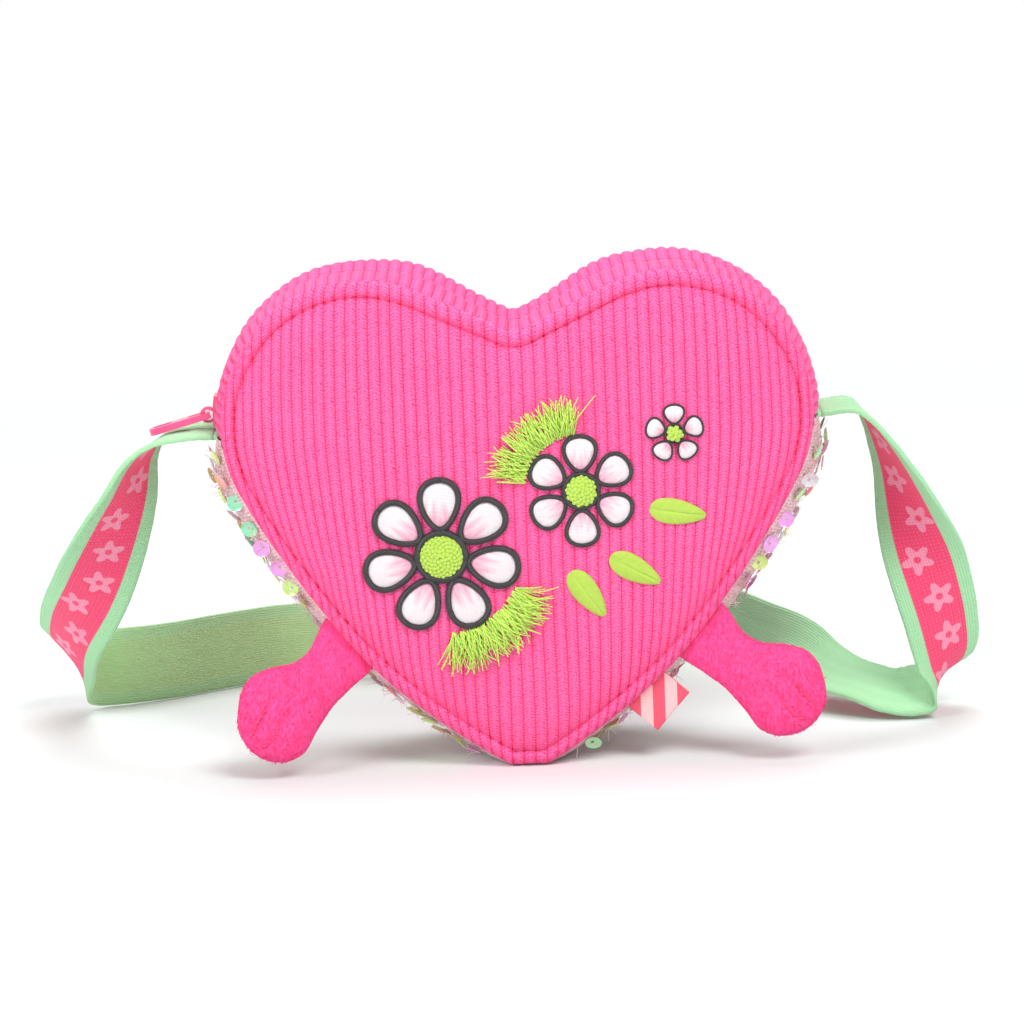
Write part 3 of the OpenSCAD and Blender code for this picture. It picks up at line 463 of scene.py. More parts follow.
# Printed webbing: mint edges, a coral middle with five-petalled blossoms, and a woven bump
def webbing_print(name):
    s = Surface(name)
    _, along, across = s.axes()
    cell = 14.0
    cells = along * (1 / cell)
    turn = s.math("FLOOR", cells)
    x = s.math("FRACT", cells) * cell - cell / 2
    y = across - s.math("SINE", turn * 2.4) * 2.6
    radius = s.math("SQRT", x * x + y * y)
    petal = s.math("COSINE", s.math("ARCTAN2", y, x) * 5.0 + turn) * 1.2 + 4.0
    blossom = (petal - radius).span(-0.15, 0.25) - radius.span(1.0, 1.3, 1.0, 0.0)
    dots = s.wave(s.uv(), 1.3, "X") * s.wave(s.uv(), 1.3, "Y")
    fleck = dots.span(0.72, 0.9) * 0.5
    edge = s.math("ABSOLUTE", across).span(7.6, 7.9)
    weave = s.wave(s.uv(), 0.9, "X", 0.4, 3) * s.wave(s.uv(), 0.9, "Y", 0.4, 3)
    colour = s.mix(edge, s.mix(s.math("MAXIMUM", fleck, blossom), CORAL, PALE_PINK), MINT)
    colour = s.mix(weave.span(0.0, 0.6, 0.3, 0.0), colour, s.mix(edge, DEEP_CORAL, SAGE))
    return s.finish(colour, 0.8, (weave, 0.18), Sheen_Weight=0.15, Specular_IOR_Level=0.3)


# The webbing's unprinted side, with faint stripes along it. Along the run behind the heart's left side its
# middle is painted olive:
# painted light that falls through the webbing there and shows the print, turning its green to olive on that
# run only
def webbing_back(name):
    s = Surface(name)
    _, along, across = s.axes()
    # Painted light through the webbing: an olive tint on the left rear run only, stronger in its middle
    run = along.span(104, 116) * along.span(225, 245, 1.0, 0.0)
    painted_light_through = run * s.math("ABSOLUTE", across).span(8.0, 9.5, 0.55, 0.3)
    weave = s.wave(s.uv(), 0.55, "X", 0.6, 2) * 0.3 + s.wave(s.uv(), 0.8, "Y", 1.2, 2)
    stripe = s.wave(s.uv(), 6.0, "Y", 0.8, 2)
    shade = weave.span(0.0, 0.8, 0.72, 1.0) * stripe.span(0.0, 1.0, 0.85, 1.0)
    return s.finish(s.mix(painted_light_through, s.mix(shade, SAGE, MINT), OLIVE), 0.82, (weave, 0.18),
                    Sheen_Weight=0.15, Specular_IOR_Level=0.3)


# Iridescent sequin film: the colour shifts with the facing angle and a little from one to the next
def film(name, colour, shift):
    s = Surface(name)
    each = s.noise(s.place(), 170.0, 0)
    turned = s.node("LayerWeight", "Facing", {"Blend": 0.45}) + each.span(0.3, 0.7, -0.4, 0.4)
    return s.finish(s.mix(turned.span(0.15, 0.75), colour, shift), 0.25, None, Metallic=0.12,
                    Coat_Weight=0.6, Coat_Roughness=0.08, Specular_IOR_Level=0.6)


# Knit mesh in dusty pink with painted silvery glints: near-white specks in its colour stand in for highlights
def mesh_cloth(name):
    s = Surface(name)
    holes = s.node("TexVoronoi", "Distance", {"Vector": s.uv(), "Scale": 900.0, "Randomness": 0.35})
    colour = s.mix(holes.span(0.15, 0.55), (0.54, 0.24, 0.28), (0.88, 0.56, 0.60))
    # Painted glints: near-white specks in the colour, standing in for highlights
    colour = s.mix(s.noise(s.uv(), 1500).span(0.58, 0.66), colour, (0.97, 0.92, 0.94))
    return s.finish(colour, 0.42, (holes, 0.25), Metallic=0.05)


# Satin stitch: fine parallel threads that run along the UV's first axis
def satin(name, colour, dark, gloss=0.35):
    s = Surface(name)
    threads = s.wave(s.uv(), SATIN_PITCH, "Y", 0.5, 2)
    patches = s.noise(s.uv((0.3, 1, 1)), 900)
    shade = threads.span(0.0, 0.7, 0.5, 1.0) * patches.span(0.3, 0.7, 0.75, 1.0)
    return s.finish(s.mix(shade, dark, colour), gloss, (threads, 0.14, 0.9), Anisotropic=0.4,
                    Sheen_Weight=0.2, Specular_IOR_Level=0.5)


# Petals turn from blush at the eye to white at the rim
def petal_satin(name):
    s = Surface(name)
    share = s.node("Attribute", "Color", {}, attribute_name="share")
    threads = s.wave(s.uv(), SATIN_PITCH, "Y", 0.5, 2)
    streaks = s.noise(s.uv((1, 0.15, 1)), 700).span(0.3, 0.7, -0.22, 0.22)
    reach = s.node("SeparateColor", 0, {"Color": share}) + streaks
    colour = s.mix(reach.span(0.15, 0.55), (0.98, 0.42, 0.58), (0.97, 0.90, 0.92))
    colour = s.mix(threads.span(0.0, 0.6, 0.45, 0.0), colour, (0.72, 0.42, 0.52))
    return s.finish(colour, 0.35, (threads, 0.14, 0.9), Anisotropic=0.4, Sheen_Weight=0.2,
                    Specular_IOR_Level=0.5)


# Glossy enamel over metal
def enamel(name, colour, deep):
    s = Surface(name)
    cloud = s.noise(s.place(), 90).span(0.3, 0.7)
    specks = s.noise(s.place(), 1800)
    return s.finish(s.mix(cloud, deep, colour), 0.28, (specks, 0.02, 0.3), Coat_Weight=1.0,
                    Coat_Roughness=0.05, Specular_IOR_Level=0.5)


# Woven ribbon with stripes aslant to its length
def striped_ribbon(name):
    s = Surface(name)
    aslant = s.node("Mapping", 0, {"Vector": s.uv(), "Rotation": (0, 0, -math.radians(TAG_LEAN)),
                                    "Location": (2.55 * MM, 0, 0)})
    weave = s.wave(s.uv(), 0.45, "X", 0.3, 2)
    colour = s.mix(s.wave(aslant, 7.3, "X").span(0.46, 0.54), (0.93, 0.10, 0.17), (1.0, 0.62, 0.62))
    colour = s.mix(weave.span(0.0, 0.5, 0.25, 0.0), colour, (0.8, 0.08, 0.14))
    return s.finish(colour, 0.6, (weave, 0.12), Sheen_Weight=0.3, Specular_IOR_Level=0.35)


# Twisted sewing thread
def thread(name, colour, dark):
    s = Surface(name)
    twist = s.node("TexWave", "Fac", {"Vector": s.place(), "Scale": 420.0, "Distortion": 1.0},
                   bands_direction="DIAGONAL")
    return s.finish(s.mix(twist.span(0.1, 0.7), dark, colour), 0.55, (twist, 0.1), Sheen_Weight=0.2,
                    Specular_IOR_Level=0.4)


mat_corduroy = corduroy("corduroy_pink")
mat_plush = plush("plush_pink")
mat_print = webbing_print("webbing_print")
mat_webbing = webbing_back("webbing_back")
mat_lining = woven("lining_pink", (0.86, 0.16, 0.36), (0.50, 0.05, 0.16), 0.7)
mat_tape = woven("zip_tape_pink", (0.62, 0.05, 0.16), (0.24, 0.01, 0.05), 0.8, on_uv=False)
mat_teeth = enamel("zip_teeth_pink", (0.70, 0.06, 0.18), (0.45, 0.03, 0.10))
mat_enamel = enamel("enamel_pink", (0.95, 0.075, 0.30), (0.88, 0.045, 0.22))
mat_mesh = mesh_cloth("mesh_silver")
mat_tinsel = film("tinsel_silver", (0.80, 0.60, 0.62), (0.58, 0.40, 0.44))
mat_tag = striped_ribbon("tag_stripes")
mat_label = woven("label_white", (0.86, 0.84, 0.84), (0.62, 0.6, 0.6), 0.5, 0.55, on_uv=False)
mat_tie = woven("tie_mint", (0.55, 0.80, 0.55), (0.26, 0.45, 0.26), 0.7)
mat_petal = petal_satin("satin_petal")
mat_black = satin("satin_black", (0.035, 0.032, 0.035), (0.008, 0.007, 0.008), gloss=0.3)
mat_lime = satin("satin_lime", (0.66, 0.92, 0.12), (0.36, 0.58, 0.04))
mat_lime_thread = thread("thread_lime", (0.70, 0.94, 0.17), (0.50, 0.76, 0.09))
mat_pink_thread = thread("thread_pink", (0.96, 0.06, 0.24), (0.80, 0.03, 0.14))
mat_sequin = {
    "mint": film("sequin_mint", (0.30, 0.84, 0.52), (0.66, 0.93, 0.36)),
    "lime": film("sequin_lime", (0.62, 0.90, 0.26), (0.86, 0.92, 0.36)),
    "coral": film("sequin_coral", (1.0, 0.36, 0.22), (1.0, 0.52, 0.62)),
    "lilac": film("sequin_lilac", (0.84, 0.38, 0.84), (0.98, 0.42, 0.66)),
    "silver": film("sequin_silver", (0.78, 0.76, 0.80), (0.90, 0.70, 0.84)),
}


# Strap, printed face out, with its stored length folded behind the heart
rows = strap_rows()
strap, strap_len = band_piece("strap", rows, STRAP_W, STRAP_T, [mat_print, mat_webbing], 0.08)
settle(strap, ["strap_left", "strap_hank", "strap_right"], "root")


# A band of cloth tied round the middle of the hank
def make_tie():
    low, high = box_of("strap_tie")
    thick, squareness = 0.8, 0.35
    mid = (low + high) / 2
    half = (high - low) / 2 - thick / 2
    turn = np.radians(np.arange(0, 366, 6))
    y = mid[1] + half[1] * signed_power(np.sin(turn), squareness)
    z = mid[2] + half[2] * signed_power(np.cos(turn), squareness)
    path = spread(mid[0], y, z, 1, 0, 0)
    tie, _ = band_piece("hank_tie", path, 2 * half[0], thick, [mat_tie, mat_tie], 0.05)
    return settle(tie, ["strap_tie"], "root")


tie = make_tie()
strap_len * MM


# Outline of the heart, from the notch over the right lobe to the tip and back up the left side
def arc(cx, cz, r, a0, a1, step):
    count = max(2, int(abs(math.radians(a1 - a0)) * r / step))
    a = np.radians(np.linspace(a0, a1, count, endpoint=False))
    return np.stack([cx + r * np.cos(a), np.maximum(cz + r * np.sin(a), 0)], -1)


# A straight flank runs from the notch's arc up to the lobe's
FLANK_TURN = 90 + FLANK_ANGLE
FLANK_LOW = (NOTCH_R * math.sin(math.radians(FLANK_ANGLE)),
             NOTCH_Z - NOTCH_R * math.cos(math.radians(FLANK_ANGLE)))
FLANK_HIGH = (LOBE_X + LOBE_R * math.cos(math.radians(FLANK_TURN)),
              LOBE_Z + LOBE_R * math.sin(math.radians(FLANK_TURN)))


def outline(step=0.6):
    flank = np.linspace(FLANK_LOW, FLANK_HIGH, int(math.dist(FLANK_LOW, FLANK_HIGH) / step), endpoint=False)
    right = np.concatenate([
        arc(0, NOTCH_Z, NOTCH_R, -90, FLANK_ANGLE - 90, step), flank,
        arc(LOBE_X, LOBE_Z, LOBE_R, FLANK_TURN, SIDE_START, step),
        arc(SIDE_X, SIDE_Z, SIDE_R, SIDE_START, TIP_START, step), arc(0, TIP_Z, TIP_R, TIP_START, -90, step),
        [[0, 0]]])
    left = right[1:-1][::-1] * [-1, 1]
    return np.concatenate([right, left])


EDGE = outline()
CLOSED_EDGE = np.vstack([EDGE, EDGE[:1]])
EDGE_ALONG = way_along(CLOSED_EDGE)
EDGE_OUT = unit(np.roll(EDGE, -1, 0) - np.roll(EDGE, 1, 0))[:, ::-1] * [-1, 1]


# Distance to the outline, the way along it and the outward direction there, for many points
def to_edge(x, z):
    p = np.stack([x, z], -1).reshape(-1, 2)
    near = np.zeros(len(p), int)
    for i in range(0, len(p), 4000):
        q = p[i:i + 4000]
        near[i:i + 4000] = ((q[:, None] - EDGE[None]) ** 2).sum(-1).argmin(1)
    best = np.full(len(p), 1e9)
    along = np.zeros(len(p))
    for shift in (-1, 0):
        i = (near + shift) % len(EDGE)
        a, b = EDGE[i], EDGE[(i + 1) % len(EDGE)]
        t = np.clip(((p - a) * (b - a)).sum(1) / np.maximum(((b - a) ** 2).sum(1), 1e-9), 0, 1)
        d = np.linalg.norm(p - a - t[:, None] * (b - a), axis=1)
        better = d < best
        along[better] = (EDGE_ALONG[i] + t * np.linalg.norm(b - a, axis=1))[better]
        best = np.minimum(best, d)
    return best.reshape(x.shape), along.reshape(x.shape), EDGE_OUT[near].reshape(*x.shape, 2)


# Height of the padded cover over its seam, by the distance from the outline: a soft rolled edge,
# a shallow stitched groove and the pillow
def pillow(d, along, crown=1.0):
    seam = ramp(d, 0, STITCH_IN)
    lumps = 1 - 0.10 * np.cos(2 * math.pi * (along - 0.5 * d) / RIB)
    bead = np.sqrt(np.clip(1 - ((d - BEAD_AT) / BEAD_HALF) ** 2, 0, 1))
    roll = EDGE_H * seam ** 0.8 + BEAD_H * lumps * bead
    past = np.maximum(d - STITCH_IN, 0)
    dome = np.sin(np.minimum(d, CROWN_REACH) / CROWN_REACH * math.pi / 2)
    dome = dome - math.sin(STITCH_IN / CROWN_REACH * math.pi / 2)
    body = EDGE_H + PILLOW_H * (1 - np.exp(-past / PILLOW_RUN)) + CROWN_H * crown * dome
    return np.where(d < STITCH_IN, roll, body)


# How far the covers are drawn in at the sides, where the gusset bulges past them, by the distance
# from the seam
def drawn_in(x, z, d=0.0):
    return DRAW_IN * ramp(z, 12, 62) * ramp(z, 146, 126) * ramp(np.abs(x), 40, 60) * np.exp(-d / DRAW_FADE)


# Slack of the cloth over its padding
def slack(x, z, d):
    return 0.5 * ripple(x, z, 13, 2.0) * ramp(d, 0, 10)


# Rounded ridge of the wide corduroy: 1 on its crest and 0 in the narrow groove
def ridge(u):
    return np.abs(np.cos(math.pi * u / RIB)) ** 0.38


# Where an arc lies at a place across it: its upper or outer half, and for a radius below 0 the other
def on_arc(place, middle, base, radius):
    return base + math.copysign(1, radius) * np.sqrt(np.maximum(radius ** 2 - (place - middle) ** 2, 0))


# Where a rib runs: straight in the middle, and drawn in along the outline near the edge
def rib_place(u, z):
    side = on_arc(z, SIDE_Z, SIDE_X, SIDE_R)
    lobe = on_arc(z, LOBE_Z, LOBE_X, LOBE_R)
    side_top = LOBE_Z + LOBE_R * math.sin(math.radians(SIDE_START))
    half = np.maximum(np.where(z < side_top, side, lobe), 12)
    share = 0.05 + 0.07 * ramp(z, 100, 60)
    return u - np.sign(u) * share * half * np.minimum(np.abs(u) / half, 1.12) ** 3


# Lowest and highest point of the heart at a place across it
def heart_low(x):
    x = np.abs(x)
    side = on_arc(x, SIDE_X, SIDE_Z, -SIDE_R)
    lobe = on_arc(x, LOBE_X, LOBE_Z, -LOBE_R)
    side_x0 = SIDE_X + SIDE_R * math.cos(math.radians(SIDE_START))
    tip_x0 = TIP_R * math.cos(math.radians(TIP_START))
    tip = np.maximum(on_arc(x, 0, TIP_Z, -TIP_R), 0)
    return np.where(x > side_x0, lobe, np.where(x > tip_x0, side, tip))


def heart_high(x):
    x = np.abs(x)
    lobe = on_arc(x, LOBE_X, LOBE_Z, LOBE_R)
    flank = FLANK_HIGH[1] - (FLANK_HIGH[0] - x) * math.tan(math.radians(FLANK_ANGLE))
    notch = on_arc(x, 0, NOTCH_Z, -NOTCH_R)
    return np.where(x > FLANK_HIGH[0], lobe, np.where(x > FLANK_LOW[0], flank, notch))


# Height at which a rib meets the outline, between the widest place and a limit
def rib_end(u, limit, bound):
    inside = np.full(u.shape, LOBE_Z)
    outside = np.full(u.shape, limit)
    for _ in range(30):
        z = (inside + outside) / 2
        within = (z - bound(rib_place(u, z))) * (LOBE_Z - limit) > 0
        inside, outside = np.where(within, z, inside), np.where(within, outside, z)
    return (inside + outside) / 2


# Places for the cover's columns, along the ribs, and its rows, close together near the edge
def cover_columns():
    inner = np.arange(0, 88.0, RIB / 8)
    turn = np.radians(np.concatenate([np.arange(35, 4, -1.0), np.arange(4, 0.4, -0.5)]))
    guess = np.linspace(0, 110, 2200)
    outer = np.interp(LOBE_X + LOBE_R * np.cos(turn), rib_place(guess, LOBE_Z), guess)
    half = np.concatenate([inner, outer[outer > inner[-1] + 0.2]])
    return np.concatenate([-half[:0:-1], half])


def cover_rows():
    return np.concatenate([np.linspace(0, 9, 19), np.linspace(9, 20, 9)[1:]])


def cover_grid():
    u = cover_columns()
    near = cover_rows()
    low, high = rib_end(u, 0.0, heart_low), rib_end(u, 150.0, heart_high)
    reach = (high - low)[:, None]
    # The dense rows keep their distance where the column is long, and shrink with it where it is short
    scale = np.minimum(1, reach / 64)
    bottom = low[:, None] + near[None, :] * scale
    top = high[:, None] - near[::-1][None, :] * scale
    middle = np.linspace(0, 1, 76)[1:-1][None, :]
    z = np.concatenate([bottom, bottom[:, -1:] + (top[:, :1] - bottom[:, -1:]) * middle, top], 1)
    return u, rib_place(u[:, None], z), z


# Adds short fibres, three corners each, that stand out of some of a mesh's quads and soften its outline
def with_pile(verts, faces, quads, count, length, width, lean, uv=None):
    corner = verts[quads]
    normal = np.cross(corner[:, 1] - corner[:, 0], corner[:, 3] - corner[:, 0])
    area = np.linalg.norm(normal, axis=1)
    normal = unit(normal)
    pick = rng.choice(len(quads), count, p=area / area.sum())
    share = rng.dirichlet([1, 1, 1, 1], count)
    start = (corner[pick] * share[..., None]).sum(1) - normal[pick] * 0.1
    heading = unit(normal[pick] + rng.normal(0, 0.35, (count, 3)) + np.asarray(lean, float))
    tip = start + heading * rng.uniform(*length, (count, 1))
    across = unit(np.cross(heading, rng.normal(0, 1, (count, 3)))) * width
    blades = np.stack([start - across, start + across, tip], 1).reshape(-1, 3)
    blades[:, 2] = np.maximum(blades[:, 2], PILE_FLOOR)
    blade_faces = (len(verts) + np.arange(len(blades)).reshape(-1, 3)).tolist()
    if uv is not None:
        uv = np.concatenate([uv, np.repeat((uv[quads][pick] * share[..., None]).sum(1), 3, axis=0)])
    return np.concatenate([verts, blades]), faces.tolist() + blade_faces, uv


# Front and back covers: a rolled, stitched edge and a pillow with ribs. Heights of the ribs, of the
# tufts on them and of the tucks at the stitches
RIDGE_H, RIDGE_MEAN, TUFT_H, TUCK_H = 0.75, 0.75, 0.07, 0.5


def make_cover(name, side, crown, nodes):
    u, x, z = cover_grid()
    d, along, out = to_edge(x, z)
    across = u[:, None] + 0.3 * ripple(x, z, 19, 1.0) * ramp(d, 0, 12)
    tufts = TUFT_H * ripple(x, z, 0.45, 3.0)
    ribs = RIDGE_H * (ridge(across) - RIDGE_MEAN) * np.clip(d / 1.2, 0.35, 1)
    h = pillow(d, along, crown) + slack(x, z, d) + ribs + tufts
    tuck = np.exp(-((d - STITCH_IN) / 0.8) ** 2) * (0.5 + 0.5 * np.cos(2 * math.pi * along / STITCH_PITCH))
    h = (h - TUCK_H * tuck) * ramp(d, 0, 0.25)
    over = 0.25 * np.sin(ramp(d, 0, STITCH_IN) * math.pi) * ramp(z, 0, 3)
    over = over - drawn_in(x, z, d)
    px = x + out[..., 0] * over
    pz = np.maximum(z + out[..., 1] * over, CLOTH_FLOOR)
    faces = grid(*x.shape)[:, ::-side]
    verts = spread(px, side * (HALF_DEPTH + h), pz).reshape(-1, 3)
    uv = spread(across, z).reshape(-1, 2)
    rim = faces[(d.ravel()[faces].max(1) < 5) & (d.ravel()[faces].min(1) > 0.3)]
    verts, faces, uv = with_pile(verts, faces, rim, count=9000, length=(0.35, 0.8), width=0.09,
                                lean=(0, 0, -0.3), uv=uv)
    obj = settle(piece(name, verts, faces, [mat_corduroy], uv), nodes)
    return obj


front = make_cover("front_cover", -1, 1.0,
                   ["front_panel", "front_panel_flap", "front_padding", "front_padding_flap"])
bend_at_fold(front)
back = make_cover("back_cover", 1, 0.6, ["back_panel", "back_padding"])
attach(back, "root")


# Surface height of the front at places on it, for the stitching and the embroidery
def front_y(x, z):
    d, along, _ = to_edge(np.asarray(x, float), np.asarray(z, float))
    return -(HALF_DEPTH + pillow(d, along) + slack(x, z, d))


# Parts of the outline by height: the lower gusset and the zip's path over the top
def part_of_outline(top, step):
    total = EDGE_ALONG[-1]
    right_start = EDGE_ALONG[:-1][(EDGE[:, 0] > 60) & (EDGE[:, 1] < GUSSET_TOP)].min()
    left_end = total - right_start
    if top:
        s = np.linspace(left_end - total, right_start, int(2 * right_start / step))
    else:
        s = np.linspace(right_start, left_end, int((left_end - right_start) / step))
    x = np.interp(s % total, EDGE_ALONG, CLOSED_EDGE[:, 0])
    z = np.interp(s % total, EDGE_ALONG, CLOSED_EDGE[:, 1])
    ahead = unit(spread(np.gradient(x), np.gradient(z)))
    return s, x, z, ahead[:, ::-1] * [-1, 1]


# A skin over a part of the outline: y goes across it and h stands out from it
def skin(name, path, y, h, materials, flip=False, closed=False):
    s, x, z, out = path
    verts = spread(x[:, None] + out[:, :1] * h, y, z[:, None] + out[:, 1:] * h)
    verts[..., 2] = np.maximum(verts[..., 2], CLOTH_FLOOR)
    faces = grid(*verts.shape[:2], wrap_cols=closed)[:, ::-1 if flip else 1]
    return piece(name, verts.reshape(-1, 3), faces, materials, spread(s[:, None], y + 0 * h).reshape(-1, 2))


# Both zip strips: cross ribs, a rolled edge at the slit that nearly hides the zip, and a puff over
# each lobe
SLIT_HALF = 0.9
STRIP_REACH, SLIT_CURL, STRIP_STITCH = 22.9, 1.6, 4.2
PUFF_X, PUFF_HALF = 25, 13
TAPE_REACH = 12.0


def make_strip(name, side, nodes):
    path = part_of_outline(True, RIB / 8)
    s, x, z, _ = path
    q = np.concatenate([-np.linspace(SLIT_CURL, 0.3, 5), np.linspace(0, STRIP_REACH, 40)])
    edge = np.maximum(q, 0)
    curl = -2.0 * (np.maximum(-q, 0) / SLIT_CURL) ** 0.8
    puff = 0.8 + 2.2 * np.exp(-((np.abs(x) - PUFF_X) / PUFF_HALF) ** 2)
    swell = 0.1 + puff[:, None] * np.sin(ramp(edge, 3.4, STRIP_REACH) * math.pi)
    hem = ramp(edge, 0, 0.8) ** 0.5
    rib = np.abs(np.cos(math.pi * s / RIB)) ** 0.6
    sag = 0.3 * ripple(s[:, None], edge[None] * 2, 11, 4.0) * ramp(edge, 3, 11)
    ribs = (rib[:, None] - 0.6) * (0.35 + 0.55 * ramp(edge, 3.5, 7.5))
    stitch = -0.6 * np.exp(-((edge - STRIP_STITCH) / 0.45) ** 2)
    ends = ramp(z[:, None], GUSSET_TOP, GUSSET_TOP + 3)
    h = (swell * hem + sag + ribs * hem + stitch) * (0.4 + 0.6 * ends) + curl
    h[:, -1] = 0
    h = h - drawn_in(x, z)[:, None] * ramp(q, 2, STRIP_REACH)
    lip = 0.35 * ramp(-q, 0, 1)
    y = side * (SLIT_HALF + np.where(q < 0, lip, q * (HALF_DEPTH - SLIT_HALF) / STRIP_REACH))
    return settle(skin(name, path, y, h, [mat_corduroy], side < 0), nodes)


strip_nodes = ["front_zip_strip", "front_strip_end_left", "front_strip_end_right"]
bend_at_fold(make_strip("zip_strip_front", -1, strip_nodes))
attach(make_strip("zip_strip_rear", 1, ["rear_zip_strip"]), "root")


# Zip tapes under the strips
def make_tape(name, side, nodes):
    q = np.array([1.25, 2.2, 4.0, 7.0, 10.0, TAPE_REACH])
    top = -2.55 - 0.12 * np.cos(q)
    h = np.concatenate([top, top[::-1] - 0.35])
    y = side * np.concatenate([q, q[::-1]])
    return settle(skin(name, part_of_outline(True, 1.5), y, h, [mat_tape], side < 0, True), nodes)


tape = make_tape("zip_tape_front", -1, ["front_zip_tape", "front_tape_end_left", "front_tape_end_right"])
bend_at_fold(tape)
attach(make_tape("zip_tape_rear", 1, ["rear_zip_tape"]), "root")


# Lower gusset: silvery mesh that swells between its two seams and goes flat below the zip's ends.
# A place on it has t across it, from -1 at the front seam to 1 at the back, and s along it
GUSSET_SWELL, GUSSET_FLAT = 3.8, 12
GUSSET_STEP = 0.9


def gusset_rise(t, s, x, z):
    swell = GUSSET_SWELL * (1 - np.abs(t) ** 2.6) + 0.35 * ripple(s, t * 9, 6, 3.0) * (1 - np.abs(t))
    return swell * ramp(z, GUSSET_TOP, GUSSET_TOP - GUSSET_FLAT) - drawn_in(x, z) * np.abs(t) ** 4


def make_gusset():
    path = part_of_outline(False, GUSSET_STEP)
    s, x, z, _ = path
    t = np.linspace(-1, 1, 41)
    pucker = 0.22 * np.cos(2 * math.pi * s / STITCH_PITCH)[:, None] * np.abs(t) ** 6 * (1 - np.abs(t) ** 20)
    h = gusset_rise(t, s[:, None], x[:, None], z[:, None]) + pucker
    obj = skin("gusset", path, t * HALF_DEPTH, h, [mat_mesh])
    settle(obj, ["gusset_mesh", "gusset_backing"], "root")


make_gusset()


# A place on the gusset with its outward, along and sideways directions
def on_gusset(s, t, path):
    ps, x, z, out = path
    px, pz = np.interp(s, ps, x), np.interp(s, ps, z)
    o = unit(spread(np.interp(s, ps, out[:, 0]), 0, np.interp(s, ps, out[:, 1])))
    place = spread(px, t * HALF_DEPTH, pz) + o * gusset_rise(t, s, px, pz)[:, None]
    lean = -0.35 * np.sign(t) * np.abs(t) ** 1.6
    sideways = np.zeros_like(o) + [0, 1.0, 0]
    normal = unit(o - sideways * lean[:, None])
    return place, normal, unit(np.cross(sideways, normal))


# Dished sequins with a hole in rows across the gusset, each second row shifted by half a pitch
SEQUIN_PITCH, SEQUIN_ROW, SEQUIN_ROWS = 7.4, 7.0, 6
SEQUIN_RADII, SEQUIN_DISH = (0.5, 1.3, 2.1, 2.6), (0.0, 0.04, 0.2, 0.5)
SEQUIN_SHARES = [0.26, 0.22, 0.16, 0.2, 0.16]
# Lowest and highest sequin, and the spots kept clear for the arms and the side tag: their middle
# and reach, across and up
SEQUIN_LOW, SEQUIN_HIGH = 3.5, 97
ARM_SPOT, TAG_SPOT = (53, 36, 12, 13), (35, 21, 7, 7)


def sequin_places(path):
    count = int((path[0][-1] - path[0][0]) / SEQUIN_PITCH)
    i, j = (part.ravel() for part in np.meshgrid(np.arange(count), np.arange(SEQUIN_ROWS)))
    s = path[0][0] + 3 + (i + 0.5 * (j % 2)) * SEQUIN_PITCH + rng.uniform(-1.2, 1.2, len(i))
    t = (j - (SEQUIN_ROWS - 1) / 2) * SEQUIN_ROW / HALF_DEPTH
    t = t + rng.uniform(-0.8, 0.8, len(i)) / HALF_DEPTH
    by_front = j == 0
    return s, np.where(by_front, t - 0.1, t), by_front


def in_spot(x, z, spot):
    return (np.abs(x - spot[0]) < spot[2]) & (np.abs(z - spot[1]) < spot[3])


def has_room(place, t):
    x, z = place[:, 0], place[:, 2]
    arm = in_spot(np.abs(x), z, ARM_SPOT) & (t < -0.45)
    tag = in_spot(x, z, TAG_SPOT) & (t < -0.6)
    return (z > SEQUIN_LOW) & (z < SEQUIN_HIGH) & ~arm & ~tag


def sequin_disc():
    turn = turns(18)
    radii = np.array(SEQUIN_RADII)[:, None]
    disc = spread(radii * np.cos(turn), radii * np.sin(turn), np.array(SEQUIN_DISH)[:, None])
    disc[0, :, 0] += 0.35
    disc[1, :, 0] += 0.2
    return disc.reshape(-1, 3), grid(len(radii), len(turn), wrap_cols=True)


# A disc sewn on at its own tilt. Many by the front seam lean forward, so their round faces show
# beside the rolled edge
def sewn_on(disc, place, normal, along, by_front):
    n = normal
    base = place + n * rng.uniform(0.5, 1.1)
    if by_front and rng.uniform() < 0.55:
        n = unit(n * rng.uniform(0.1, 0.7) + [0, -1.0, 0])
        base = place + normal * rng.uniform(0.8, 1.8)
    n = unit(n + rng.uniform(-0.3, 0.3, 3))
    a = unit(along + rng.uniform(-0.9, 0.9, 3))
    a = unit(a - n * (a @ n))
    return base + rng.uniform(0.94, 1.06) * disc @ np.array([a, np.cross(n, a), n])


def make_sequins():
    path = part_of_outline(False, GUSSET_STEP)
    s, t, by_front = sequin_places(path)
    place, normal, along = on_gusset(s, t, path)
    kind = rng.choice(len(SEQUIN_SHARES), len(s), p=SEQUIN_SHARES)
    keep = has_room(place, t) & (rng.uniform(0, 1, len(s)) < 0.92)
    disc, disc_faces = sequin_disc()
    for k, (colour, material) in enumerate(mat_sequin.items()):
        chosen = np.flatnonzero(keep & (kind == k))
        verts = np.concatenate([sewn_on(disc, place[i], normal[i], along[i], by_front[i]) for i in chosen])
        verts[:, 2] = np.maximum(verts[:, 2], SEQUIN_FLOOR)
        faces = np.concatenate([disc_faces + i * len(disc) for i in range(len(chosen))])
        obj = piece("sequins_" + colour + "_cups", verts, faces, [material])
        settle(obj, ["sequins_" + colour], "root")


make_sequins()


# Loose tinsel hairs that stand out of the mesh: half of them anywhere, and half by the front seam
TINSEL_COUNT, TINSEL_LOW, TINSEL_HALF, TINSEL_STEPS = 900, 4, 0.08, 5


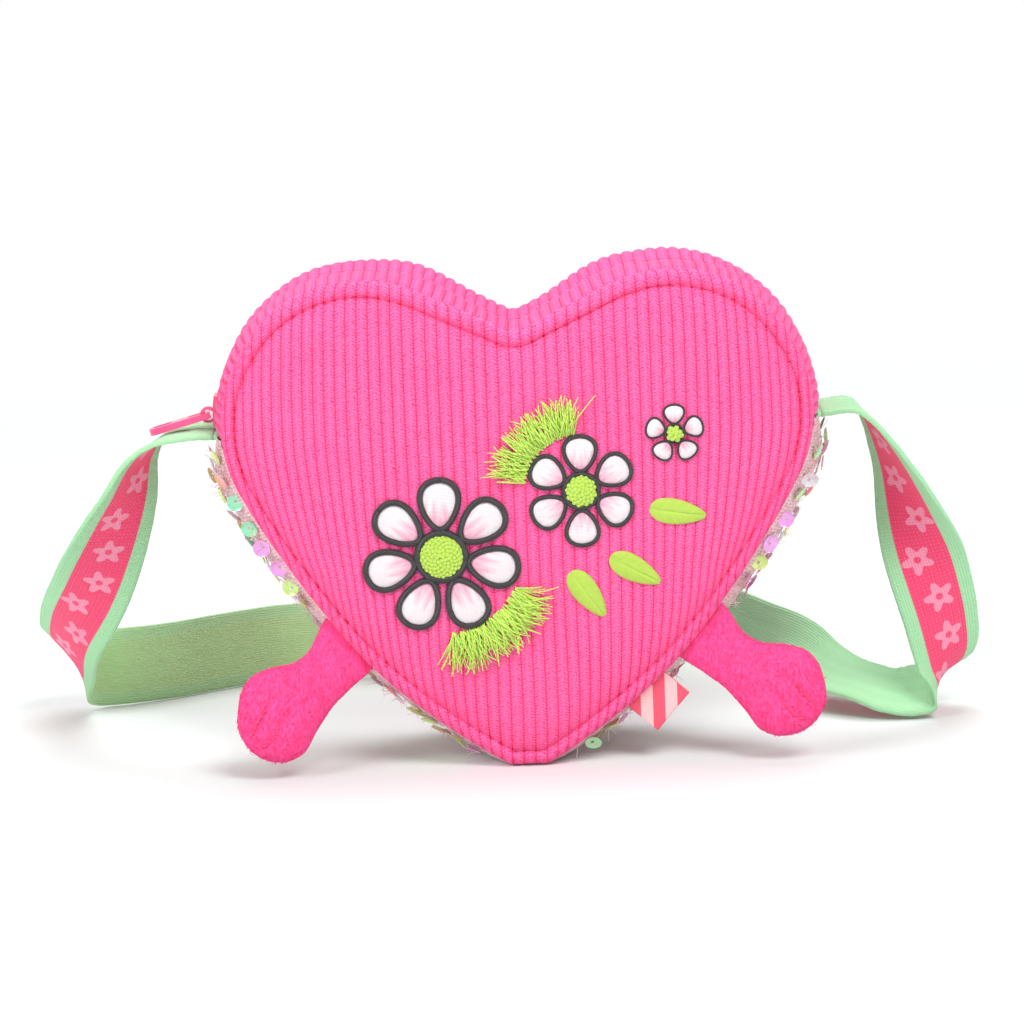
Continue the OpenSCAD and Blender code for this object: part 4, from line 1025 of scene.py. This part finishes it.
def make_tinsel():
    path = part_of_outline(False, GUSSET_STEP)
    half = TINSEL_COUNT // 2
    s = rng.uniform(path[0][0] + 4, path[0][-1] - 4, TINSEL_COUNT)
    t = np.concatenate([rng.uniform(-0.97, 0.9, half), rng.uniform(-0.98, -0.72, TINSEL_COUNT - half)])
    place, normal, along = on_gusset(s, t, path)
    verts, faces = [], []
    for i in range(TINSEL_COUNT):
        if place[i, 2] < TINSEL_LOW:
            continue
        heading = unit(normal[i] * rng.uniform(0.05, 0.5) + along[i] * rng.uniform(-1, 1)
                       + np.array([0, rng.uniform(-0.5, 0.5), 0]))
        bend = rng.uniform(-1, 1, 3)
        long = rng.uniform(1.8, 5.0)
        across = unit(np.cross(heading, rng.uniform(-1, 1, 3))) * TINSEL_HALF
        base = len(verts)
        for k, f in enumerate(np.linspace(0, 1, TINSEL_STEPS)):
            p = place[i] + normal[i] * 0.3 + heading * long * f + bend * f * f
            p[2] = max(p[2], TINSEL_FLOOR)
            verts += [p - across, p + across]
            if k:
                a = base + 2 * k
                faces.append([a - 2, a - 1, a + 1, a])
    settle(piece("tinsel", np.array(verts), faces, [mat_tinsel]), body="root")


make_tinsel()


# Linings: flat cloth inside the front and back, and a band inside the gusset
LINING_DEPTH, LINING_IN, LINING_SHARE = 22.75, 3, 0.93
BAND_HALF, BAND_IN = 22.3, 2.7


def make_lining(name, side, nodes):
    u = np.linspace(-87, 87, 70)
    low, high = heart_low(u) + LINING_IN, heart_high(u) - LINING_IN
    z = low[:, None] + (high - low)[:, None] * np.linspace(0, 1, 50)[None, :]
    x = np.broadcast_to(u[:, None], z.shape)
    crease = 0.25 * ripple(x, z, 9, 5.0 + side) + 0.15 * ripple(x, z, 4, 1.0)
    d, _, out = to_edge(x, z)
    inward = 1.3 * drawn_in(x, z, d)[..., None] * out
    verts = spread(x - inward[..., 0], side * (LINING_DEPTH + crease * 0.4), z - inward[..., 1])
    flat = spread(x, z).reshape(-1, 2)
    obj = piece(name, verts.reshape(-1, 3), grid(*z.shape)[:, ::-side], [mat_lining], flat)
    settle(obj, nodes)
    return obj


bend_at_fold(make_lining("lining_front", -1, ["front_lining", "front_lining_flap"]))
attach(make_lining("lining_back", 1, ["back_lining"]), "root")


def make_gusset_lining():
    path = part_of_outline(False, 2.0)
    s = path[0]
    t = np.linspace(-1, 1, 13)
    h = -BAND_IN + 0.2 * ripple(s[:, None], t * 22, 5, 2.0)
    obj = skin("lining_gusset", path, t * BAND_HALF, h, [mat_lining], True)
    settle(obj, ["gusset_lining"], "root")
    (s[-1] - s[0]) * MM


make_gusset_lining()


# Thread dashes pressed into the groove round the front
DASH_HALF, DASH_R, DASH_RISE, GROOVE_H = 1.15, 0.2, 0.35, 2.3


def make_topstitching():
    verts, faces = [], []
    out = np.vstack([EDGE_OUT, EDGE_OUT[:1]])
    turn = turns(6)
    for k in range(int(EDGE_ALONG[-1] / STITCH_PITCH)):
        rings = []
        for f in np.linspace(-1, 1, 5):
            at = ((k + 0.5) * STITCH_PITCH + f * DASH_HALF) % EDGE_ALONG[-1]
            p = np.array([np.interp(at, EDGE_ALONG, CLOSED_EDGE[:, i]) for i in (0, 1)])
            o = unit([np.interp(at, EDGE_ALONG, out[:, i]) for i in (0, 1)])
            p = p - o * (STITCH_IN + 0.1 + drawn_in(*p, STITCH_IN))
            y = -(HALF_DEPTH + GROOVE_H + DASH_RISE * (1 - f * f))
            r = DASH_R * math.sqrt(1.02 - f * f)
            off = r * np.cos(turn)
            rings.append(spread(p[0] + o[0] * off, y + r * np.sin(turn), p[1] + o[1] * off))
        faces += (grid(5, 6, wrap_cols=True) + len(verts) * 30).tolist()
        verts.append(np.concatenate(rings))
    obj = piece("topstitching_front", np.concatenate(verts), faces, [mat_pink_thread])
    bend_at_fold(settle(obj, ["topstitching", "topstitching_flap"]))


make_topstitching()


# Frame of an arm: its root, and the directions along it, to the back and along the seam
def arm_frame(side):
    a, f = math.radians(ARM_ANGLE), math.radians(ARM_FORWARD)
    x0 = np.array([side * math.cos(a), 0, -math.sin(a)])
    z0 = np.array([side * math.sin(a), 0, math.cos(a)])
    y0 = np.array([0, 1.0, 0])
    seam_x = SIDE_X + SIDE_R * math.cos(a)
    seam_z = SIDE_Z - SIDE_R * math.sin(a)
    root = np.array([side * seam_x, ARM_SEAT - HALF_DEPTH, seam_z])
    return root, math.cos(f) * x0 - math.sin(f) * y0, math.sin(f) * x0 + math.cos(f) * y0, z0


# Shares along an arm, and there its width and thickness as shares of the hand's, and its rise as a
# share of its length. The hand's end is round, and thread lines part the fingers
ARM_ALONG = [-0.06, 0, 0.11, 0.23, 0.31, 0.39, 0.5, 0.58, 0.68, 0.77, 0.85, 0.93, 1.08]
ARM_WIDTH = [0.76, 0.74, 0.66, 0.59, 0.59, 0.63, 0.75, 0.85, 0.94, 0.96, 0.91, 0.86, 0.87]
ARM_THICK = [0.22, 0.34, 0.45, 0.6, 0.7, 0.8, 0.9, 0.97, 1, 1, 0.92, 0.85, 0.8]
ARM_LIFT = [0, 0, -0.02, -0.032, -0.032, -0.018, 0.013, 0.03, 0.03, 0.015, -0.007, -0.022, -0.024]
ARM_ROUND, ARM_TIP = 0.8, 1.08
ARM_RISE = {-1: 0.0, 1: 0.08}
FINGERS = (-0.07, 0.145)


def smooth_shares(u, shares):
    u = np.asarray(u, float)
    return sum(np.interp(u + d, ARM_ALONG, shares) for d in np.linspace(-0.05, 0.05, 7)) / 7


# A point on the arm: u along it, a round it, in its own frame
def arm_surface(u, a, side):
    half_w = HAND_W / 2 * smooth_shares(u, ARM_WIDTH)
    half_t = HAND_T / 2 * smooth_shares(u, ARM_THICK) * 1.1
    cap = np.sqrt(1 - ramp(u, ARM_ROUND, ARM_TIP) ** 2)
    z = half_w * signed_power(np.cos(a), 0.9) * cap
    y = half_t * signed_power(np.sin(a), 0.8) * cap
    groove = sum(np.exp(-((z / HAND_W - f) / 0.04) ** 2) for f in FINGERS)
    y = y * (1 - 0.2 * groove * ramp(u, 0.6, 0.7))
    x = ARM_LEN * u + 0 * y
    lump = 0.2 * ripple(x + 3 * np.sin(a), z * 1.3 + 5 * np.cos(a), 3.1, 6.0)
    lift = ARM_LEN * (smooth_shares(u, ARM_LIFT) + ARM_RISE[side] * u)
    return x, y + lump * np.sin(a), z + lump * np.cos(a) + lift


# Places in the arm's own frame, in the purse's frame
def from_arm(side, x, y, z):
    root, ax, ay, az = arm_frame(side)
    return root + x[..., None] * ax + y[..., None] * ay + z[..., None] * az


def make_arm(tag, side):
    root, ax, _, _ = arm_frame(side)
    bend = np.sin(np.linspace(0, 0.5 * math.pi, 22))[1:]
    u = np.concatenate([np.linspace(-0.06, ARM_ROUND, 54), ARM_ROUND + (ARM_TIP - ARM_ROUND) * bend])
    a = turns(64)
    verts = from_arm(side, *arm_surface(u[:, None], a[None, :], side))
    faces = grid(*verts.shape[:2], wrap_cols=True)[:, ::side]
    verts, faces, _ = with_pile(verts.reshape(-1, 3), faces, faces, count=20000, length=(0.9, 1.9),
                                width=0.13, lean=ax * 0.5 - [0, 0, 0.1])
    obj = piece("arm_" + tag + "_plush", verts, faces, [mat_plush])
    settle(obj, ["arm_skin_" + tag, "arm_stuffing_" + tag, "arm_tab_" + tag])
    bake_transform(obj)
    make_finger_stitches(tag, side)


# Thread lines that pull the fingers in, on both faces of the hand: their ends and pitch as shares
# of the arm's length, and the thread's radius
LINE_FROM, LINE_TO, LINE_PITCH, LINE_LONG, LINE_R = 0.79, 0.98, 0.045, 0.032, 0.3


def make_finger_stitches(tag, side):
    _, _, to_back, _ = arm_frame(side)
    verts, faces = [], []
    for row in FINGERS:
        for front in (-1, 1):
            for start in np.arange(LINE_FROM, LINE_TO, LINE_PITCH):
                u = start + np.linspace(0, LINE_LONG, 5)
                half = HAND_W / 2 * smooth_shares(u, ARM_WIDTH)
                angle = np.arccos(np.clip(row * HAND_W / half, -1, 1)) * front
                x, y, z = arm_surface(u, angle, side)
                lift = 0.1 + 0.35 * np.sin(np.linspace(0, math.pi, 5))
                rings, quads, _ = tube(from_arm(side, x, y + front * lift, z), LINE_R, 8, normal=to_back)
                base = 40 * len(verts)
                faces += (quads + base).tolist()
                faces += [[base + k for k in range(8)][::-1], [base + 32 + k for k in range(8)]]
                verts.append(rings.reshape(-1, 3))
    obj = piece("fingers_" + tag, np.concatenate(verts), faces, [mat_pink_thread])
    settle(obj, ["finger_stitches_" + tag], "arm_" + tag)


make_arm("left", -1)
make_arm("right", 1)


# Embroidery on the front: a spray of three flowers with leaves and thread fringe
# Each flower has its middle, its radius and its count of petals. A leaf has its root and its turn,
# and a fringe the flower that it springs from and the turns between which it does
FLOWERS = [((-23.94, 66.0), 24.0, 7), ((18.0, 84.06), 17.0, 6), ((46.08, 100.05), 9.0, 5)]
LEAVES = [((14.04, 59.94), 305), ((25.92, 63.94), 330), ((37.98, 78.0), 350)]
FRINGES = [(0, 275, 335), (1, 95, 170)]
# The eye's share of a flower and a petal's share of its sector, the outlines' width on the largest
# flower, and the sizes of a knot, a leaf and a thread of the fringe
EYE, PETAL_FILL = 0.3, 0.62
OUTLINE_W = 2.0
KNOT_R, LEAF_LONG, LEAF_HALF, THREAD_R = 0.85, 8.5, 3.75, 0.21
# The turn from one knot to the next, which fills a round evenly, and the fringe's threads for each
# degree and each millimetre of its flower's radius
GOLDEN_TURN, FRINGE_DENSITY = 2.39996, 0.176


# Places a flat pattern on the front's padded surface, raised by h
def on_front(flat, h):
    x, z = flat[..., 0], flat[..., 1]
    return spread(x, front_y(x, z) - h, z)


def turned(flat, centre, degrees):
    a = math.radians(degrees)
    x, z = flat[..., 0], flat[..., 1]
    return centre + spread(x * math.cos(a) - z * math.sin(a), x * math.sin(a) + z * math.cos(a))


# Puffed satin shape from its flat outline round a middle; its thread direction comes from the UVs
def puffed(outline_2d, rise, low, rings=7):
    centre = outline_2d.mean(0)
    share = np.sin(np.linspace(0, 1, rings) * math.pi / 2)
    flat = centre + (outline_2d - centre)[None] * share[:, None, None]
    h = low + rise * np.sqrt(np.clip(1 - share ** 2.2, 0, 1))
    return flat, np.broadcast_to(h[:, None], flat.shape[:2])


# A drop shape round a turn, wider at its far end where the swell is above 0
def drop_shape(middle, reach, half, swell):
    a = turns(40)
    return spread(middle + reach * np.cos(a), half * np.sin(a) * (1 + swell * np.cos(a)))


def petal_outline(r, n, shrink):
    r0, r1 = r * EYE + shrink, r - shrink
    return drop_shape((r0 + r1) / 2, (r1 - r0) / 2, r * PETAL_FILL * math.sin(math.pi / n) - shrink, 0.3)


# Collects many small parts into one mesh
class Parts:
    def __init__(self):
        self.verts, self.faces, self.uv, self.share, self.count = [], [], [], [], 0

    def add(self, verts, faces, uv, share=1.0):
        self.verts.append(verts.reshape(-1, 3))
        self.faces += (np.asarray(faces) + self.count).tolist()
        self.uv.append(uv.reshape(-1, 2))
        self.share.append(np.broadcast_to(share, verts.shape[:-1]).ravel())
        self.count += len(self.verts[-1])

    def build(self, name, material, nodes, slot):
        obj = piece(name, np.concatenate(self.verts), self.faces, [material], np.concatenate(self.uv),
                    np.concatenate(self.share))
        settle(obj, nodes, "root")


# French knots fill the middle of a flower
def add_knots(centres, cx, cz, eye):
    count = int(1.5 * (eye / KNOT_R) ** 2)
    th = np.linspace(0, math.pi / 2, 4)[:, None]
    ph = turns(8)
    dome = spread(np.cos(th) * np.cos(ph), -np.sin(th) * 0.9, np.cos(th) * np.sin(ph)) * KNOT_R
    for k in range(count):
        far = (eye - 0.6) * math.sqrt((k + 0.5) / count)
        b = k * GOLDEN_TURN
        place = np.array([cx + far * math.cos(b), cz + far * math.sin(b)])
        rise = 1.2 * (1 - (far / eye) ** 2) + 0.5
        centres.add(on_front(place, rise) + dome, grid(4, 8, wrap_cols=True), spread(ph, th) * KNOT_R)


def make_flowers():
    petals, outlines, centres = Parts(), Parts(), Parts()
    for (cx, cz), r, n in FLOWERS:
        width = OUTLINE_W * r / FLOWERS[0][1]
        eye = r * EYE
        for i in range(n):
            turn = 360 * i / n + 90
            flat, h = puffed(petal_outline(r, n, width * 0.7), 1.3, 0.35)
            place = on_front(turned(flat, (cx, cz), turn), h)
            share = ramp(flat[..., 0], eye, r)
            petals.add(place, grid(*h.shape, wrap_cols=True)[:, ::-1], flat[..., ::-1], share)
            rim = turned(petal_outline(r, n, width * 0.5), (cx, cz), turn)
            outlines.add(*tube(on_front(rim, 0.55), width / 2, 8, True, 1.1))
        rim = turned(drop_shape(0, eye, eye, 0), (cx, cz), 0)
        outlines.add(*tube(on_front(rim, 0.7), width * 0.55, 8, True, 1.1))
        add_knots(centres, cx, cz, eye)
    petals.build("petals_satin", mat_petal, ["petals"], "satin_white")
    outlines.build("petal_outlines_satin", mat_black, ["petal_outlines"], "satin_black")
    centres.build("flower_knots", mat_lime, ["flower_centres"], "satin_lime")


make_flowers()


def make_leaves():
    leaves = Parts()
    shape = drop_shape(LEAF_LONG, LEAF_LONG, LEAF_HALF, -0.3)
    for centre, degrees in LEAVES:
        flat, h = puffed(shape, 1.1, 0.35, 8)
        h = h - 0.5 * np.exp(-(flat[..., 1] / 0.35) ** 2)
        aside = np.abs(flat[..., 1])
        slant = spread(flat[..., 0] + aside, flat[..., 0] - 1.2 * aside)
        place = on_front(turned(flat, centre, degrees), h)
        leaves.add(place, grid(*h.shape, wrap_cols=True)[:, ::-1], slant)
    leaves.build("leaves_satin", mat_lime, ["leaves"], "satin_lime")


make_leaves()


# Loose thread fringe: many fine curved threads that spring from two arcs
def make_fringe():
    fringe = Parts()
    for which, a0, a1 in FRINGES:
        (cx, cz), r, _ = FLOWERS[which]
        count = int(abs(a1 - a0) * r * FRINGE_DENSITY)
        for _ in range(count):
            a = math.radians(rng.uniform(a0, a1))
            start = r * rng.uniform(0.97, 1.06)
            long = rng.uniform(6.5, 11.5)
            lean = rng.normal(0, 0.33)
            curl = rng.normal(0, 2.0)
            f = np.linspace(0, 1, 7)
            radial = start + long * f
            side = lean * long * f + curl * f * f
            x = cx + radial * math.cos(a) - side * math.sin(a)
            z = cz + radial * math.sin(a) + side * math.cos(a)
            lift = 0.5 + rng.uniform(1.2, 3.2) * np.sin(f * math.pi * rng.uniform(0.6, 1.0)) + 0.3 * f
            fringe.add(*tube(on_front(spread(x, z), lift), THREAD_R * (1 - 0.35 * f), 4))
    fringe.build("fringe_threads", mat_lime_thread, ["lime_fringe"], "satin_lime")


make_fringe()


# Folded ribbon tag in the front seam, cut from ribbon whose stripes run aslant
TAG_ANGLE, TAG_W, TAG_T, TAG_BEND_R, TAG_BOW = 49.2, 15, 0.5, 0.65, 0.8
TAG_FROM, TAG_TO = -1.6, 9.6


def make_tag():
    place_angle, lean = math.radians(TAG_ANGLE), math.radians(TAG_LEAN)
    out = np.array([math.cos(lean), 0, -math.sin(lean)])
    root = np.array([SIDE_X + SIDE_R * math.cos(place_angle), 0.1 - HALF_DEPTH,
                     SIDE_Z - SIDE_R * math.sin(place_angle)])
    go = np.linspace(TAG_FROM, TAG_TO, 12)
    bend = np.radians(np.linspace(0, 180, 9)[1:-1])
    far = np.concatenate([go, TAG_TO + TAG_BEND_R * np.sin(bend), go[::-1]])
    y = TAG_BEND_R * np.concatenate([np.full(12, -1.0), -np.cos(bend), np.full(12, 1.0)])
    bow = TAG_BOW * np.sin(ramp(far, 0, 11) * math.pi / 2) ** 2
    place = root + far[:, None] * out + (y - bow)[:, None] * [0, 1.0, 0]
    rows_tag = spread(*place.T, math.sin(lean), 0, math.cos(lean))
    tag, _ = band_piece("side_tag_ribbon", rows_tag, TAG_W, TAG_T, [mat_tag, mat_tag], 0.03)
    settle(tag, ["side_tag"], "root")


make_tag()


# Small pieces of webbing and ribbon that the sewing holds: the strap's tabs and the inner label
def make_tab(node):
    low, high = box_of(node)
    rows_tab = spread(np.linspace(low[0] + 0.1, high[0] - 0.1, 8), 0, STRAP_Z, 0, 1, 0)
    tab, _ = band_piece(node + "_webbing", rows_tab, STRAP_W, STRAP_T, [mat_print, mat_webbing])
    settle(tab, [node], "root")


def make_label():
    low, high = box_of("inner_label")
    y = (low[1] + high[1]) / 2 - 0.15 * np.sin(np.linspace(0, 3.1, 12))
    rows_label = spread(0, y, np.linspace(low[2], high[2], 12), 1, 0, 0)
    label, _ = band_piece("inner_label_satin", rows_label, high[0] - low[0], 0.4, [mat_label, mat_label])
    settle(label, ["inner_label"], "root")


make_tab("strap_tab_left")
make_tab("strap_tab_right")
make_label()


# Better finishes and softened edges on the rigid CAD parts that stay
def dress(node, material, edge=0.0):
    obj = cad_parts[node]
    obj.data.materials.clear()
    obj.data.materials.append(material)
    if edge:
        bevel = obj.modifiers.new("edges", "BEVEL")
        bevel.width = edge * MM
        bevel.segments = 3
        bevel.limit_method = "ANGLE"
        bevel.angle_limit = math.radians(40)


for name in ("rear_zip_teeth", "front_zip_teeth", "front_end_teeth"):
    dress(name, mat_teeth)
dress("zip_stops", mat_enamel, 0.2)
dress("zip_slider", mat_enamel, 0.25)
dress("zip_pull", mat_enamel, 0.5)


# Plain white stage: near the object it takes the soft shadow, and farther off the camera sees
# plain white. Its glow is a little light of its own
FLOOR_COLOUR, FLOOR_GLOW = (0.765, 0.81, 0.805), 0.03
FADE_FROM, FADE_TO = 0.3, 0.8
FLOOR_HALF, FLOOR_DROP = 6, -0.0002
SOFT_SKY = 0.45


def make_stage():
    material = bpy.data.materials.new("stage_white")
    tree = Tree(material)
    diffuse = tree.node("BsdfDiffuse", 0, {"Color": FLOOR_COLOUR})
    lit = tree.node("AddShader", 0, {0: diffuse, 1: tree.node("Emission", 0, {"Strength": FLOOR_GLOW})})
    place = tree.node("TexCoord", "Object", {})
    distance = tree.node("VectorMath", "Value", {0: place}, operation="LENGTH")
    white = tree.node("Emission", 0, {"Strength": 1.0})
    floor_seen = tree.blend(distance.span(FADE_FROM, FADE_TO), lit, white)
    tree.add("OutputMaterial", {"Surface": tree.blend(tree.seen(), diffuse, floor_seen)})
    mesh = bpy.data.meshes.new("floor")
    corners = [(x * FLOOR_HALF, y * FLOOR_HALF, 0) for x, y in ((-1, -1), (1, -1), (1, 1), (-1, 1))]
    mesh.from_pydata(corners, [], [(0, 1, 2, 3)])
    mesh.materials.append(material)
    floor = bpy.data.objects.new("floor", mesh)
    floor.location.z = FLOOR_DROP
    bpy.context.scene.collection.objects.link(floor)
    world = bpy.data.worlds.new("studio")
    bpy.context.scene.world = world
    tree = Tree(world)
    soft = tree.node("Background", 0, {"Strength": SOFT_SKY})
    white = tree.node("Background", 0, {"Strength": 1.0})
    tree.add("OutputWorld", {"Surface": tree.blend(tree.seen(), soft, white)})


# A round soft light that faces the purse
def add_light(name, place, size, power):
    data = bpy.data.lights.new(name, "AREA")
    data.shape = "DISK"
    data.size = size
    data.energy = power
    light = bpy.data.objects.new(name, data)
    light.location = place
    aim = Vector((0, 0, 0.07)) - Vector(place)
    light.rotation_euler = aim.to_track_quat("-Z", "Y").to_euler()
    bpy.context.scene.collection.objects.link(light)


make_stage()
add_light("key", (0.6, -1.1, 1.5), 0.9, 23)
add_light("fill", (-1.1, -0.9, 0.9), 0.9, 12)
add_light("top", (0.1, 0.5, 1.6), 1.2, 16)
bpy.context.scene.view_settings.view_transform = "Standard"
